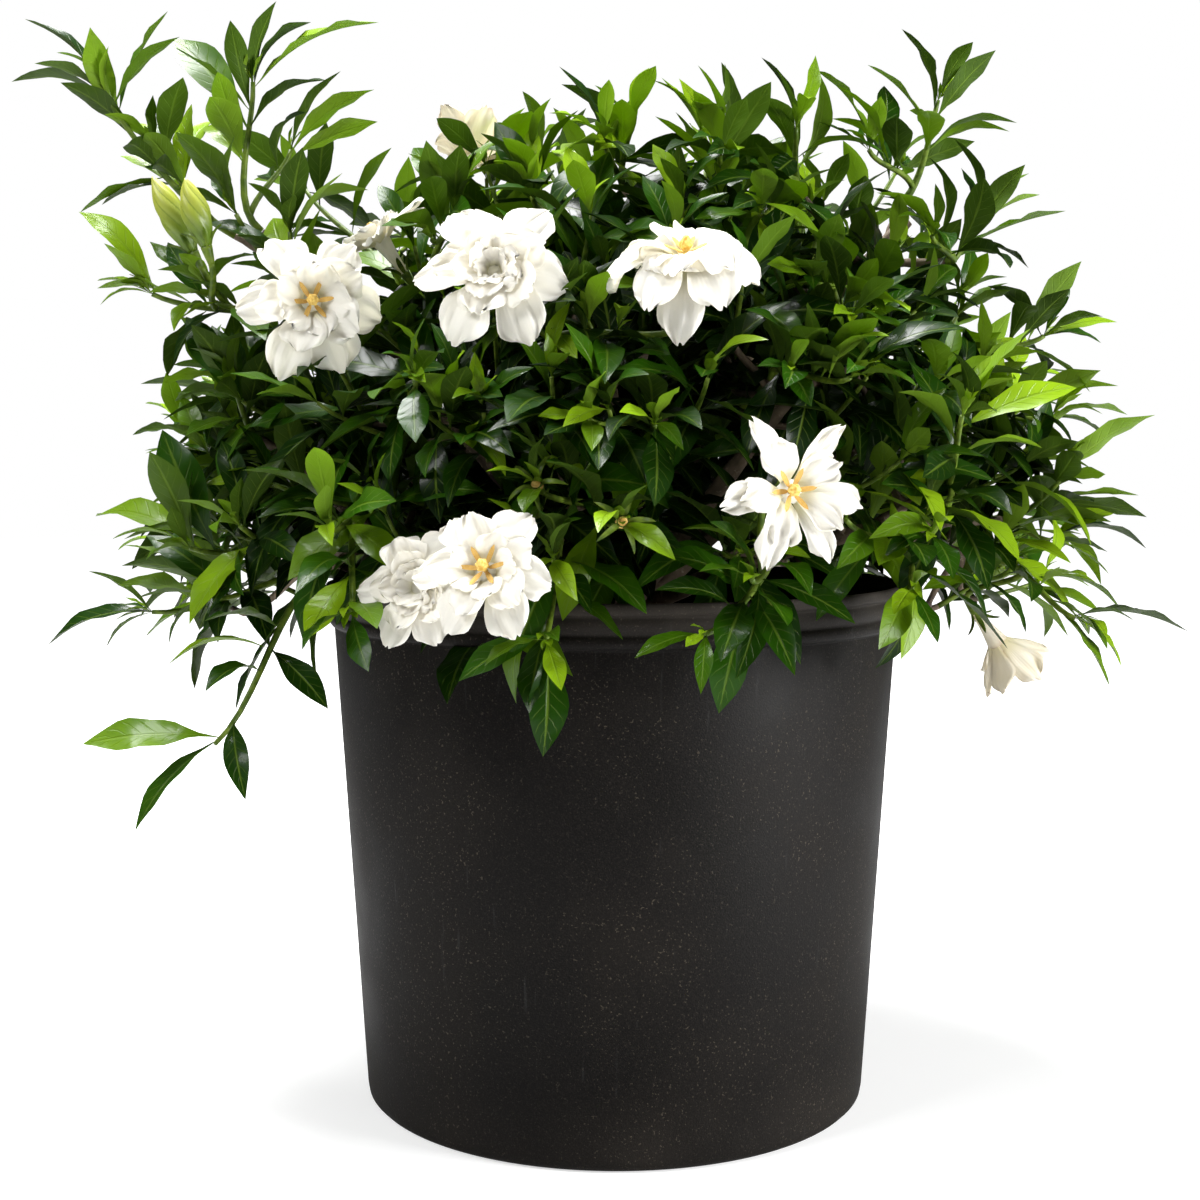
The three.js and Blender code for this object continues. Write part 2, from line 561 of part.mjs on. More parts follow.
// Where on a shoot the leaf with that tip grows: where it comes nearest to a leaf's usual length,
// and away from the roots already taken.
function leafRoot(curve, tip, taken) {
  let best = null;
  for (let step = 6; step <= 19; step++) {
    const root = onStem(curve, step / 20);
    const near = taken.filter((other) => other.distanceTo(root) < ROOT_SPACING).length;
    const miss = Math.abs(root.distanceTo(tip) - LEAF_LENGTH) + ROOT_SPACING * near;
    if (!best || miss < best.miss - 1e-6) best = { miss, root };
  }
  taken.push(best.root);
  return best.root;
}

// The tips of leaves set in crossed pairs along a shoot.
function ruledTips(curve, count, draw) {
  return Array.from({ length: count }, (_, k) => {
    const along = 0.4 + (0.6 * Math.floor(k / 2)) / Math.floor((count - 1) / 2);
    const forward = curve.getTangent(along);
    const { side, lift } = square(forward);
    const turn = Math.PI * (k % 2) + (Math.PI / 2) * Math.floor(k / 2) + 0.7 * (draw() - 0.5);
    const lean = radians(48 + 24 * draw());
    const length = LEAF_LENGTH * (0.85 + 0.3 * draw());
    return curve.getPoint(along)
      .addScaledVector(forward, length * Math.cos(lean))
      .addScaledVector(side, length * Math.sin(lean) * Math.cos(turn))
      .addScaledVector(lift, length * Math.sin(lean) * Math.sin(turn));
  });
}

// The way a leaf's upper face looks: up, and out from the bush.
function leafLift(root, tip, roll) {
  const along = tip.clone().sub(root).normalize();
  const wish = new THREE.Vector3(root.x, root.y, 0).normalize().multiplyScalar(0.45).add(UP);
  const lift = wish.addScaledVector(along, -wish.dot(along)).normalize();
  return lift.applyAxisAngle(along, roll);
}

// A leaf: a pointed arched blade with a crease along its midrib, its foot inside the shoot.
// Its blade is also given without the foot.
function leafSolid(root, tip, roll) {
  const span = tip.clone().sub(root);
  const length = span.length();
  const lift = leafLift(root, tip, roll);
  const side = lift.clone().cross(span).normalize();
  const halfWidth = (length * LEAF_WIDTH_SHARE) / 2;
  const rings = LEAF_STATIONS.map(([share, wide, rib]) => {
    const arch = 4 * LEAF_ARCH * length * share * (1 - share);
    const middle = root.clone().addScaledVector(span, share).addScaledVector(lift, arch - rib / 2);
    return [
      middle.clone().addScaledVector(side, halfWidth * wide),
      middle.clone().addScaledVector(lift, rib),
      middle.clone().addScaledVector(side, -halfWidth * wide),
    ];
  });
  return {
    whole: loft(rings, { from: root.clone().addScaledVector(span, -LEAF_FOOT / length), to: tip }),
    blade: loft(rings, { to: tip }),
  };
}

// Small turns, lifts and shortenings, tried in this order until a leaf is clear of other pieces.
const BENDS = [1, 0.86, 0.74].flatMap((share) => [
  [0, 0], [8, 0], [-8, 0], [0, 8], [0, -8], [14, 8], [-14, 8], [14, -8], [-14, -8], [22, 0], [-22, 0],
  [0, 18], [0, -18], [26, 14], [-26, 14], [32, 0], [-32, 0],
].map(([turn, lift]) => ({ turn: radians(turn), lift: radians(lift), share })));

function bentTip(root, tip, bend) {
  const span = tip.clone().sub(root);
  const { side } = square(span.clone().normalize());
  span.applyAxisAngle(side, -bend.lift).applyAxisAngle(UP, bend.turn).multiplyScalar(bend.share);
  return root.clone().add(span);
}

// Solids already placed, each with the node it belongs to.
const placed = [];

function boxOf(solid) {
  const { min, max } = solid.boundingBox();
  return new THREE.Box3(vec(min), vec(max));
}

function place(node, solid) {
  placed.push({ node, solid, box: boxOf(solid).expandByScalar(LEAF_CLEARANCE) });
  return solid;
}

// Whether a solid keeps that gap from every piece of the other nodes.
function isClear(node, solid, gap) {
  const box = boxOf(solid);
  return placed.every((other) => other.node === node || !other.box.intersectsBox(box)
    || solid.minGap(other.solid, gap) >= gap);
}

// The least bent leaf that is clear of every other node and, where one is, also of the blades
// already on its own spray.
function fittedLeaf(node, root, tip, roll, blades) {
  let spare = null;
  for (const bend of BENDS) {
    const leaf = leafSolid(root, bentTip(root, tip, bend), roll);
    if (!isClear(node, leaf.whole, LEAF_CLEARANCE)) continue;
    if (blades.every((other) => leaf.blade.minGap(other, 1) > 0)) return leaf;
    spare ??= leaf;
  }
  return spare;
}

// A green calyx: a cup that opens in five long thin sepals, facing along a direction. The sepals
// lean out from it by that angle.
function calyx(foot, faces, lean) {
  const { side, lift } = square(faces);
  const reach = CALYX_RADIUS + SEPAL_LENGTH * Math.sin(lean);
  const rise = SEPAL_LENGTH * Math.cos(lean);
  const mouth = Array.from({ length: 10 }, (_, j) => {
    const turn = (Math.PI * j) / 5;
    const [radius, height] = j % 2 ? [CALYX_RADIUS, CALYX_HEIGHT] : [reach, CALYX_HEIGHT + rise];
    return foot.clone().addScaledVector(faces, height)
      .addScaledVector(side, radius * Math.cos(turn))
      .addScaledVector(lift, radius * Math.sin(turn));
  });
  const hollow = (CALYX_RADIUS * rise) / reach;
  return loft([mouth], {
    from: foot.clone().addScaledVector(faces, -CALYX_ROOT),
    to: foot.clone().addScaledVector(faces, CALYX_HEIGHT - hollow),
  });
}

// One petal: it leaves the mouth at one angle from the flower's axis and curves to another.
function petal(bloom, layer, turn) {
  const { side, lift } = square(bloom.faces);
  const outward = side.multiplyScalar(Math.cos(turn)).addScaledVector(lift, Math.sin(turn));
  const across = bloom.faces.clone().cross(outward);
  const length = bloom.reach * layer.length;
  const root = bloom.mouth.clone().addScaledVector(bloom.faces, -PETAL_SET_IN)
    .addScaledVector(outward, PETAL_SET_IN);
  const spine = root.clone();
  const rings = [];
  let before = 0;
  for (const [share, wide] of [...PETAL_STATIONS, [1, 0]]) {
    const heading = radians(THREE.MathUtils.lerp(layer.leaves, layer.ends, (share + before) / 2));
    spine.addScaledVector(outward, length * (share - before) * Math.sin(heading));
    spine.addScaledVector(bloom.faces, length * (share - before) * Math.cos(heading));
    before = share;
    const angle = radians(THREE.MathUtils.lerp(layer.leaves, layer.ends, share));
    const inner = bloom.faces.clone().multiplyScalar(Math.sin(angle))
      .addScaledVector(outward, -Math.cos(angle));
    const halfWidth = (bloom.reach * layer.width * wide) / 2;
    const edge = across.clone().multiplyScalar(halfWidth).addScaledVector(inner, halfWidth * PETAL_TWIST);
    const cup = inner.clone().multiplyScalar(halfWidth * PETAL_CUP);
    rings.push([
      spine.clone().add(edge).add(cup),
      spine.clone().addScaledVector(inner, PETAL_THICKNESS / 2),
      spine.clone().sub(edge).add(cup),
      spine.clone().addScaledVector(inner, -PETAL_THICKNESS / 2),
    ]);
  }
  rings.pop();
  return loft(rings, { from: root, to: spine });
}

// The white part of a bloom: its tube and its layers of petals.
function makePetals(bloom) {
  const tube = new THREE.LineCurve3(bloom.foot, bloom.mouth);
  const pieces = [stem(tube, 1, 6, TUBE_FOOT_RADIUS, TUBE_MOUTH_RADIUS)];
  PETAL_LAYERS[bloom.form].forEach((layer, depth) => {
    for (let i = 0; i < layer.count; i++) {
      const turn = (2 * Math.PI * (i + 0.5 * (depth % 2))) / layer.count + 0.16 * (bloom.draw() - 0.5);
      pieces.push(petal(bloom, layer, turn));
    }
  });
  return join(pieces);
}

// The yellow heart: six anthers in a star round a club.
function makeHeart(bloom) {
  const { side, lift } = square(bloom.faces);
  const ringAt = (height, radiusOf) => Array.from({ length: 12 }, (_, j) => {
    const turn = (Math.PI * j) / 6;
    return bloom.mouth.clone().addScaledVector(bloom.faces, SEAT_GAP + height + radiusOf(j) * 0.4)
      .addScaledVector(side, radiusOf(j) * Math.cos(turn))
      .addScaledVector(lift, radiusOf(j) * Math.sin(turn));
  });
  const foot = ringAt(-0.4 * 1.2, () => 1.2);
  const star = ringAt(3, (j) => (j % 2 ? 1.5 : ANTHER_REACH));
  return loft([foot, star], { to: bloom.mouth.clone().addScaledVector(bloom.faces, CLUB_HEIGHT) });
}

// A bud: a slim spindle in a spiral of folded petals.
function makeBud(foot, point) {
  const along = point.clone().sub(foot).normalize();
  const { side, lift } = square(along);
  const stations = [[0, 0.3], [0.25, 0.62], [0.55, 1], [0.82, 0.7]];
  const rings = stations.map(([share, wide]) => Array.from({ length: 10 }, (_, j) => {
    const angle = (2 * Math.PI * j) / 10 + share * 1.2;
    const radius = BUD_RADIUS * wide * (j % 2 ? 0.86 : 1);
    return foot.clone().lerp(point, share)
      .addScaledVector(side, radius * Math.cos(angle))
      .addScaledVector(lift, radius * Math.sin(angle));
  }));
  return loft(rings, { to: point });
}

const group = new THREE.Group();

function addNode(name, solid, material) {
  const mesh = new THREE.Mesh(geometryOf(solid), material);
  mesh.name = name;
  group.add(mesh);
}

// Every spray in millimetres, with what its shoots carry.
const sprays = new Map();
for (const [name, spray] of Object.entries(SEEN_SPRAYS)) {
  const shoots = spray.shoots.map(({ tip, leaves, star }) => (
    { tip: seen(tip), leaves: leaves.map(seen), star }));
  sprays.set(name, { base: seen(spray.base), shoots });
}
for (const [name, spray] of Object.entries(BACK_SPRAYS)) {
  sprays.set(name, { base: vec(spray.base), shoots: spray.tips.map((tip) => ({ tip: vec(tip) })) });
}

place("pot", makePot());
place("bark_mix", makeMix());
place("wood", makeWood([...sprays.values()].map((spray) => spray.base)));
for (const { node, solid } of [...placed]) {
  addNode(node, solid, { pot: MATERIALS.pot, bark_mix: MATERIALS.mix, wood: MATERIALS.wood }[node]);
}

// Blooms and buds, whose stalks then grow from their sprays.
const stalks = [];
Object.entries(BLOOMS).forEach(([name, bloom], i) => {
  const faces = vec(bloom.faces).normalize();
  const mouth = seen(bloom.at).addScaledVector(faces, -bloom.reach * MOUTH_DEPTH);
  const foot = mouth.clone().addScaledVector(faces, -TUBE_LENGTH);
  const made = { ...bloom, faces, mouth, foot, draw: draws(101 + 7 * i) };
  addNode(`bloom_${name}_petals`, place(`bloom_${name}_petals`, makePetals(made)), MATERIALS.petal);
  if (HAS_HEART[bloom.form]) {
    addNode(`bloom_${name}_heart`, place(`bloom_${name}_heart`, makeHeart(made)), MATERIALS.heart);
  }
  stalks.push({ on: bloom.on, end: foot.clone().addScaledVector(faces, -CALYX_HEIGHT - SEAT_GAP), faces });
});
for (const [name, bud] of Object.entries(BUDS)) {
  const [foot, point] = [seen(bud.foot), seen(bud.point)];
  addNode(`bud_${name}`, place(`bud_${name}`, makeBud(foot, point)), MATERIALS.petal);
  const faces = point.clone().sub(foot).normalize();
  stalks.push({ on: BUDS_ON, end: foot.clone().addScaledVector(faces, -CALYX_HEIGHT - SEAT_GAP), faces });
}

// A stem that would touch another node sways aside.
function grow(spray, end, ending, endRadius) {
  const draw = draws(97 * (10 * spray.number + spray.pieces.length + 1));
  for (let sway = 0; sway < SWAY_LIMIT; sway += SWAY_STEP) {
    const aside = new THREE.Vector3(draw() - 0.5, draw() - 0.5, draw() - 0.5).multiplyScalar(sway);
    const curve = greenCurve(spray, end, ending, aside);
    const startRadius = spray.trunk ? FORK_RADIUS : SHOOT_START_RADIUS;
    const solid = stem(curve, STEM_STEPS, STEM_SIDES, startRadius, endRadius);
    if (!isClear(spray.node, solid, STEM_CLEARANCE)) continue;
    spray.pieces.push(place(spray.node, solid));
    spray.trunk ??= curve;
    return curve;
  }
  throw new Error("no clear way for a stem of " + spray.node);
}

// Shoots and stalks with their calyces come first, so that every leaf can keep clear of them.
[...sprays].forEach(([name, spray], i) => {
  spray.node = `spray_${name}`;
  spray.number = i;
  spray.along = twigCurve(spray.base).getTangent(1);
  spray.pieces = [];
  const stars = [];
  for (const shoot of spray.shoots) {
    const ending = shoot.tip.clone().sub(spray.base).normalize().addScaledVector(UP, SHOOT_RISE).normalize();
    shoot.curve = grow(spray, shoot.tip, ending, SHOOT_END_RADIUS);
    if (shoot.star) {
      stars.push(calyx(shoot.curve.getPoint(0.98), shoot.curve.getTangent(1), radians(OLD_SEPAL_LEAN)));
    }
  }
  for (const stalk of stalks.filter((one) => one.on === name)) {
    grow(spray, stalk.end, stalk.faces, STALK_RADIUS);
    stars.push(calyx(stalk.end, stalk.faces, radians(SEPAL_LEAN)));
  }
  for (const star of stars) spray.pieces.push(place(spray.node, star));
});

for (const spray of sprays.values()) {
  const blades = [];
  spray.shoots.forEach((shoot, i) => {
    const draw = draws(5003 + 31 * i + 211 * spray.number);
    const taken = [];
    for (const tip of shoot.leaves ?? ruledTips(shoot.curve, BACK_LEAVES_PER_SHOOT, draw)) {
      const root = leafRoot(shoot.curve, tip, taken);
      const roll = radians(LEAF_ROLL * (draw() - 0.5));
      const leaf = fittedLeaf(spray.node, root, tip, roll, blades);
      if (!leaf) continue;
      blades.push(leaf.blade);
      spray.pieces.push(place(spray.node, leaf.whole));
    }
  });
  addNode(spray.node, join(spray.pieces), MATERIALS.leaf);
}

export default group;
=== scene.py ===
# A potted gardenia in a black nursery pot, finished leaf by leaf and petal by petal.
# Metres, +Z up. The origin is the middle of the pot's underside.
import json
from functools import partial
from itertools import product
from math import atan2, cos, hypot, pi, radians, sin, sqrt

import bmesh
import bpy
from mathutils import Matrix, Quaternion, Vector
from mathutils.kdtree import KDTree

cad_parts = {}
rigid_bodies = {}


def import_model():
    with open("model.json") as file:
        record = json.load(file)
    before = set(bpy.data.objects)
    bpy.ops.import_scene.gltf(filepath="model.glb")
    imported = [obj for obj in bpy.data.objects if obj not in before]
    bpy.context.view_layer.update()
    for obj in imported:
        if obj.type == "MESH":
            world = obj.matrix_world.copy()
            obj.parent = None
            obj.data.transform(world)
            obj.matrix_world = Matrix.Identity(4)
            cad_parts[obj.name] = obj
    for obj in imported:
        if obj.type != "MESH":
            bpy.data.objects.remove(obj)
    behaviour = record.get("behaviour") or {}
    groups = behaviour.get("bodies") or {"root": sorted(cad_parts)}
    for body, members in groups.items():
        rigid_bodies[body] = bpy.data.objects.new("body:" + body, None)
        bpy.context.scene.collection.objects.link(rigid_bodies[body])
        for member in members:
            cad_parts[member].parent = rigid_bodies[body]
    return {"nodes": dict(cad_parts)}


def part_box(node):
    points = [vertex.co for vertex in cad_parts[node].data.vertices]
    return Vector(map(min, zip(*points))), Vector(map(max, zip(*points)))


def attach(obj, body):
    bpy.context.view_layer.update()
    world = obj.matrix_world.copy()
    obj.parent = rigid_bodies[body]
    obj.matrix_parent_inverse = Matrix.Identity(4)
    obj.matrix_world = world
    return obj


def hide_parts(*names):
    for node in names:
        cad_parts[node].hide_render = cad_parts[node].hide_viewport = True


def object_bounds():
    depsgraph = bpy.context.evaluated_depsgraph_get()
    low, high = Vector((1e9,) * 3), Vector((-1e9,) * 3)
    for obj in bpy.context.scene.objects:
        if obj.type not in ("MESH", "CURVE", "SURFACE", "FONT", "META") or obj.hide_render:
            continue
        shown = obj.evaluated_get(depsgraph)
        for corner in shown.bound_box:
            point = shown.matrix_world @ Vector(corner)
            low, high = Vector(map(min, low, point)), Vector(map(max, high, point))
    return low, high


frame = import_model()
solid_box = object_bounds()

MM = 0.001
UP = Vector((0, 0, 1))

# The view that places are given in: a square 1200 units wide and high, seen from in front.
VIEW_MIDDLE = 600
VIEW_FOCAL = 1831.6
VIEW_PLACE = Vector((0, -0.8933, 0.3131))
VIEW_TILT = 0.0814
VIEW_TURN = -0.0081
VIEW_AHEAD = Vector((sin(VIEW_TURN), cos(VIEW_TURN), 0))
VIEW_RIGHT = Vector((cos(VIEW_TURN), -sin(VIEW_TURN), 0))
VIEW_RISE = VIEW_AHEAD * sin(VIEW_TILT) + UP * cos(VIEW_TILT)
GAZE = VIEW_AHEAD * cos(VIEW_TILT) - UP * sin(VIEW_TILT)
SENSOR = 36

# Pot and bark mix, from the frame's own pot
POT_LIP_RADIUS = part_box("pot")[1].x
POT_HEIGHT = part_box("pot")[1].z
POT_WALL_TOP_RADIUS = POT_LIP_RADIUS - 0.004
POT_BASE_RADIUS = POT_LIP_RADIUS - 0.018
POT_WALL = 0.0016
POT_FLOOR = 0.003
POT_BAND = 0.02
POT_SIDES = 192
DRAIN_HOLES = 4
DRAIN_RADIUS = 0.006
DRAIN_RING_RADIUS = 0.086
DRILL_HEIGHTS = (-0.01, -0.004, 0.004, 0.01)
MIX_LEVEL = 0.222
MIX_CROWN = 0.005
MIX_HEAP_RADIUS = 0.13
MIX_WAVE = 0.0011
MIX_SIDES = 96
MIX_RINGS = 14
MIX_STEPS = 12
MIX_BEVEL = 0.0045
MIX_BEVEL_TOP = 0.0085

# The chips on the mix. A chip's shape is about 1 long. How far they tilt is in radians, how their
# sizes vary is in shares of the chip size, and how far out they lie is a share of the mix's radius.
CHIP_SPACING = 0.0042
CHIP_SIZE = 0.0075
CHIP_DENSITY = 90000.0
CHIP_TILT = 0.35
CHIP_SIZES = (0.45, 1.1)
CHIP_REACH = 0.965
CHIP_SHAPES = 4
CHIP_STATIONS = (-0.5, -0.1, 0.25, 0.5)
CHIP_HALF_WIDTH = 0.22
CHIP_HALF_THICKNESS = 0.07

# The pot's outline: steps in millimetres from a radius and a height, for its foot, its band, its
# lip, and its wall and floor within.
POT_OUTLINE = [
    (POT_BASE_RADIUS, 0, [(-6, 0), (-2.5, 0.7), (-0.6, 2.6), (0, 6)]),
    (POT_WALL_TOP_RADIUS, POT_HEIGHT - POT_BAND, [
        (-0.2, -1), (-0.6, 0), (1, 0.3), (1.8, 1.2), (2, 5), (1.1, 5.6), (1.1, 6.8), (2.1, 7.4),
        (2.4, 12), (1.6, 13.2), (1.3, 14.4), (2.2, 15)]),
    (POT_LIP_RADIUS, POT_HEIGHT, [
        (-0.9, -4.9), (0, -4), (0, -1.6), (-0.5, -0.4), (-1.5, 0), (-3.2, -0.3), (-4.2, -1.6)]),
    (POT_WALL_TOP_RADIUS - POT_WALL, POT_HEIGHT - POT_BAND, [(0, 0)]),
    (POT_BASE_RADIUS - POT_WALL, POT_FLOOR, [(0, 5), (-4, 0)]),
]

# Wood. Where there are two radii, they are those of the foot and the end.
CROWN_RADIUS = 0.014
CROWN_FOOT = 0.2
CROWN_TOP = 0.238
LIMB_RADII = (0.0048, 0.0034)
TWIG_RADII = (0.0024, 0.0019)
TWIG_SPREAD = 0.3
TWIG_BOW = 0.1
TWIG_SLACK = 0.006
STEM_EASE = 0.3

# Green growth. The frame's stems are straight between a few rings.
FRAME_RINGS = 2
FRAME_SHOOT_RADIUS = 0.0023
FRAME_FORK_RADIUS = 0.00195
FRAME_SHOOT_END = 0.0016
FRAME_STALK_END = 0.0015
SHOOT_RADII = (0.0019, 0.0011)
FORK_SLIMNESS = 0.85
SHOOT_RISE = 0.35
STALK_RADIUS = 0.0014
FORK_SHARE = 0.15
SEAT_GAP = 0.0003
SWAY_STEP = 0.0015
SWAY_LIMIT = 0.06
LEAF_LENGTH = 0.046
LEAF_ROLL = 50
ROOT_SPACING = 0.004
MATCH = 0.0005

# Leaf shapes: how far the halves fold up, how high the blade arches, how much its rim waves, how
# far it twists and its width, each for a leaf of length 1.
LEAF_SHAPES = [
    (0.22, 0.09, 0.010, 0.10, 0.28),
    (0.34, 0.13, 0.014, -0.25, 0.26),
    (0.16, 0.06, 0.018, 0.35, 0.31),
    (0.28, 0.17, 0.010, -0.05, 0.25),
    (0.20, 0.11, 0.020, -0.40, 0.33),
]
LEAF_THICKNESS = 0.009
LEAF_ROWS = 12
LEAF_COLUMNS = 2
LEAF_FLUTTER = 0.05

# Leaves in threes: how far in degrees they lean along a shoot and at its tip and how much that varies,
# their length and how much brighter they are at its tip, and how far they droop
WHORL_LEAN = 58
TIP_LEAN = 34
LEAN_VARIES = 22
TIP_LENGTH = 0.66
TIP_TONE = 0.16
WHORL_DROOP = 0.16
SPRAY_WHORLS = 2
SPRAY_WHORLS_FROM = 0.5

# The pale sprout at the tip of a shoot
SPROUT_LENGTH = 0.012
SPROUT_LEAVES = 3
SPROUT_TURN = 2.1

# Flowers
TUBE_LENGTH = 0.02
TUBE_RADII = (0.0022, 0.005)
PETAL_THICKNESS = 0.0007
PETAL_CUP = 0.24
PETAL_TWIST = 0.2
PETAL_RUFFLE = 0.24
PETAL_NOTCH = 0.035
PETAL_FALL = 0.45
PETAL_SPREAD = 1.3
PETAL_SET_IN = 0.0025
PETAL_STEPS = 24
PETAL_ROWS = 12
PETAL_COLUMNS = 12
MOUTH_DEPTH = 0.2
ANTHER_REACH = 0.009
ANTHER_WIDTH = 0.0016
ANTHER_THICKNESS = 0.0007
ANTHER_TONE = 0.75
ANTHER_RISE = 0.0025
ANTHER_OUT = 0.0014
ANTHER_SLOPE = 0.42
CLUB_HEIGHTS = (-0.001, 0.002, 0.006, 0.009)
CLUB_RADIUS = 0.0009
CLUB_SWELL = 0.0017
CALYX_HEIGHT = 0.006
CALYX_HEIGHTS = (-0.002, 0, 0.003, CALYX_HEIGHT)
OLD_CORE_HEIGHTS = (0.004, 0.005, 0.006, 0.0072)
CALYX_RADIUS = 0.0026
SEPAL_LENGTH = 0.012
SEPAL_WIDTH = 0.0024
SEPAL_THICKNESS = 0.0005
SEPAL_LEAN = 32
OLD_SEPAL_LEAN = 70
BUD_RADIUS = 0.0065
BUD_RIDGES = 6
BUD_TWIST = 2.6
BUD_GROOVE = 0.16
BUD_TONE = 0.12

# The limbs, in millimetres
LIMBS = [
    [(-8, 0, 234), (-48, 2, 300), (-105, 5, 360), (-160, 8, 400)],
    [(-7, -4, 235), (-60, -36, 262), (-122, -56, 278)],
    [(-4, -7, 235), (-35, -55, 280), (-70, -80, 325)],
    [(1, -8, 235), (0, -50, 290), (-2, -84, 340)],
    [(5, -7, 235), (35, -55, 280), (76, -78, 335)],
    [(8, -4, 235), (64, -40, 262), (122, -72, 280)],
    [(9, 0, 234), (75, 0, 295), (156, -2, 335)],
    [(7, 5, 234), (52, 12, 330), (105, 12, 385), (142, 12, 425)],
    [(1, 2, 234), (14, 4, 320), (22, 4, 385), (30, 2, 425)],
    [(-5, 3, 234), (-26, 10, 320), (-54, -4, 395)],
    [(-6, 6, 234), (-50, 45, 290), (-105, 65, 345)],
    [(0, 8, 234), (-8, 60, 290), (-18, 88, 360)],
    [(5, 8, 234), (48, 45, 290), (100, 64, 355)],
]

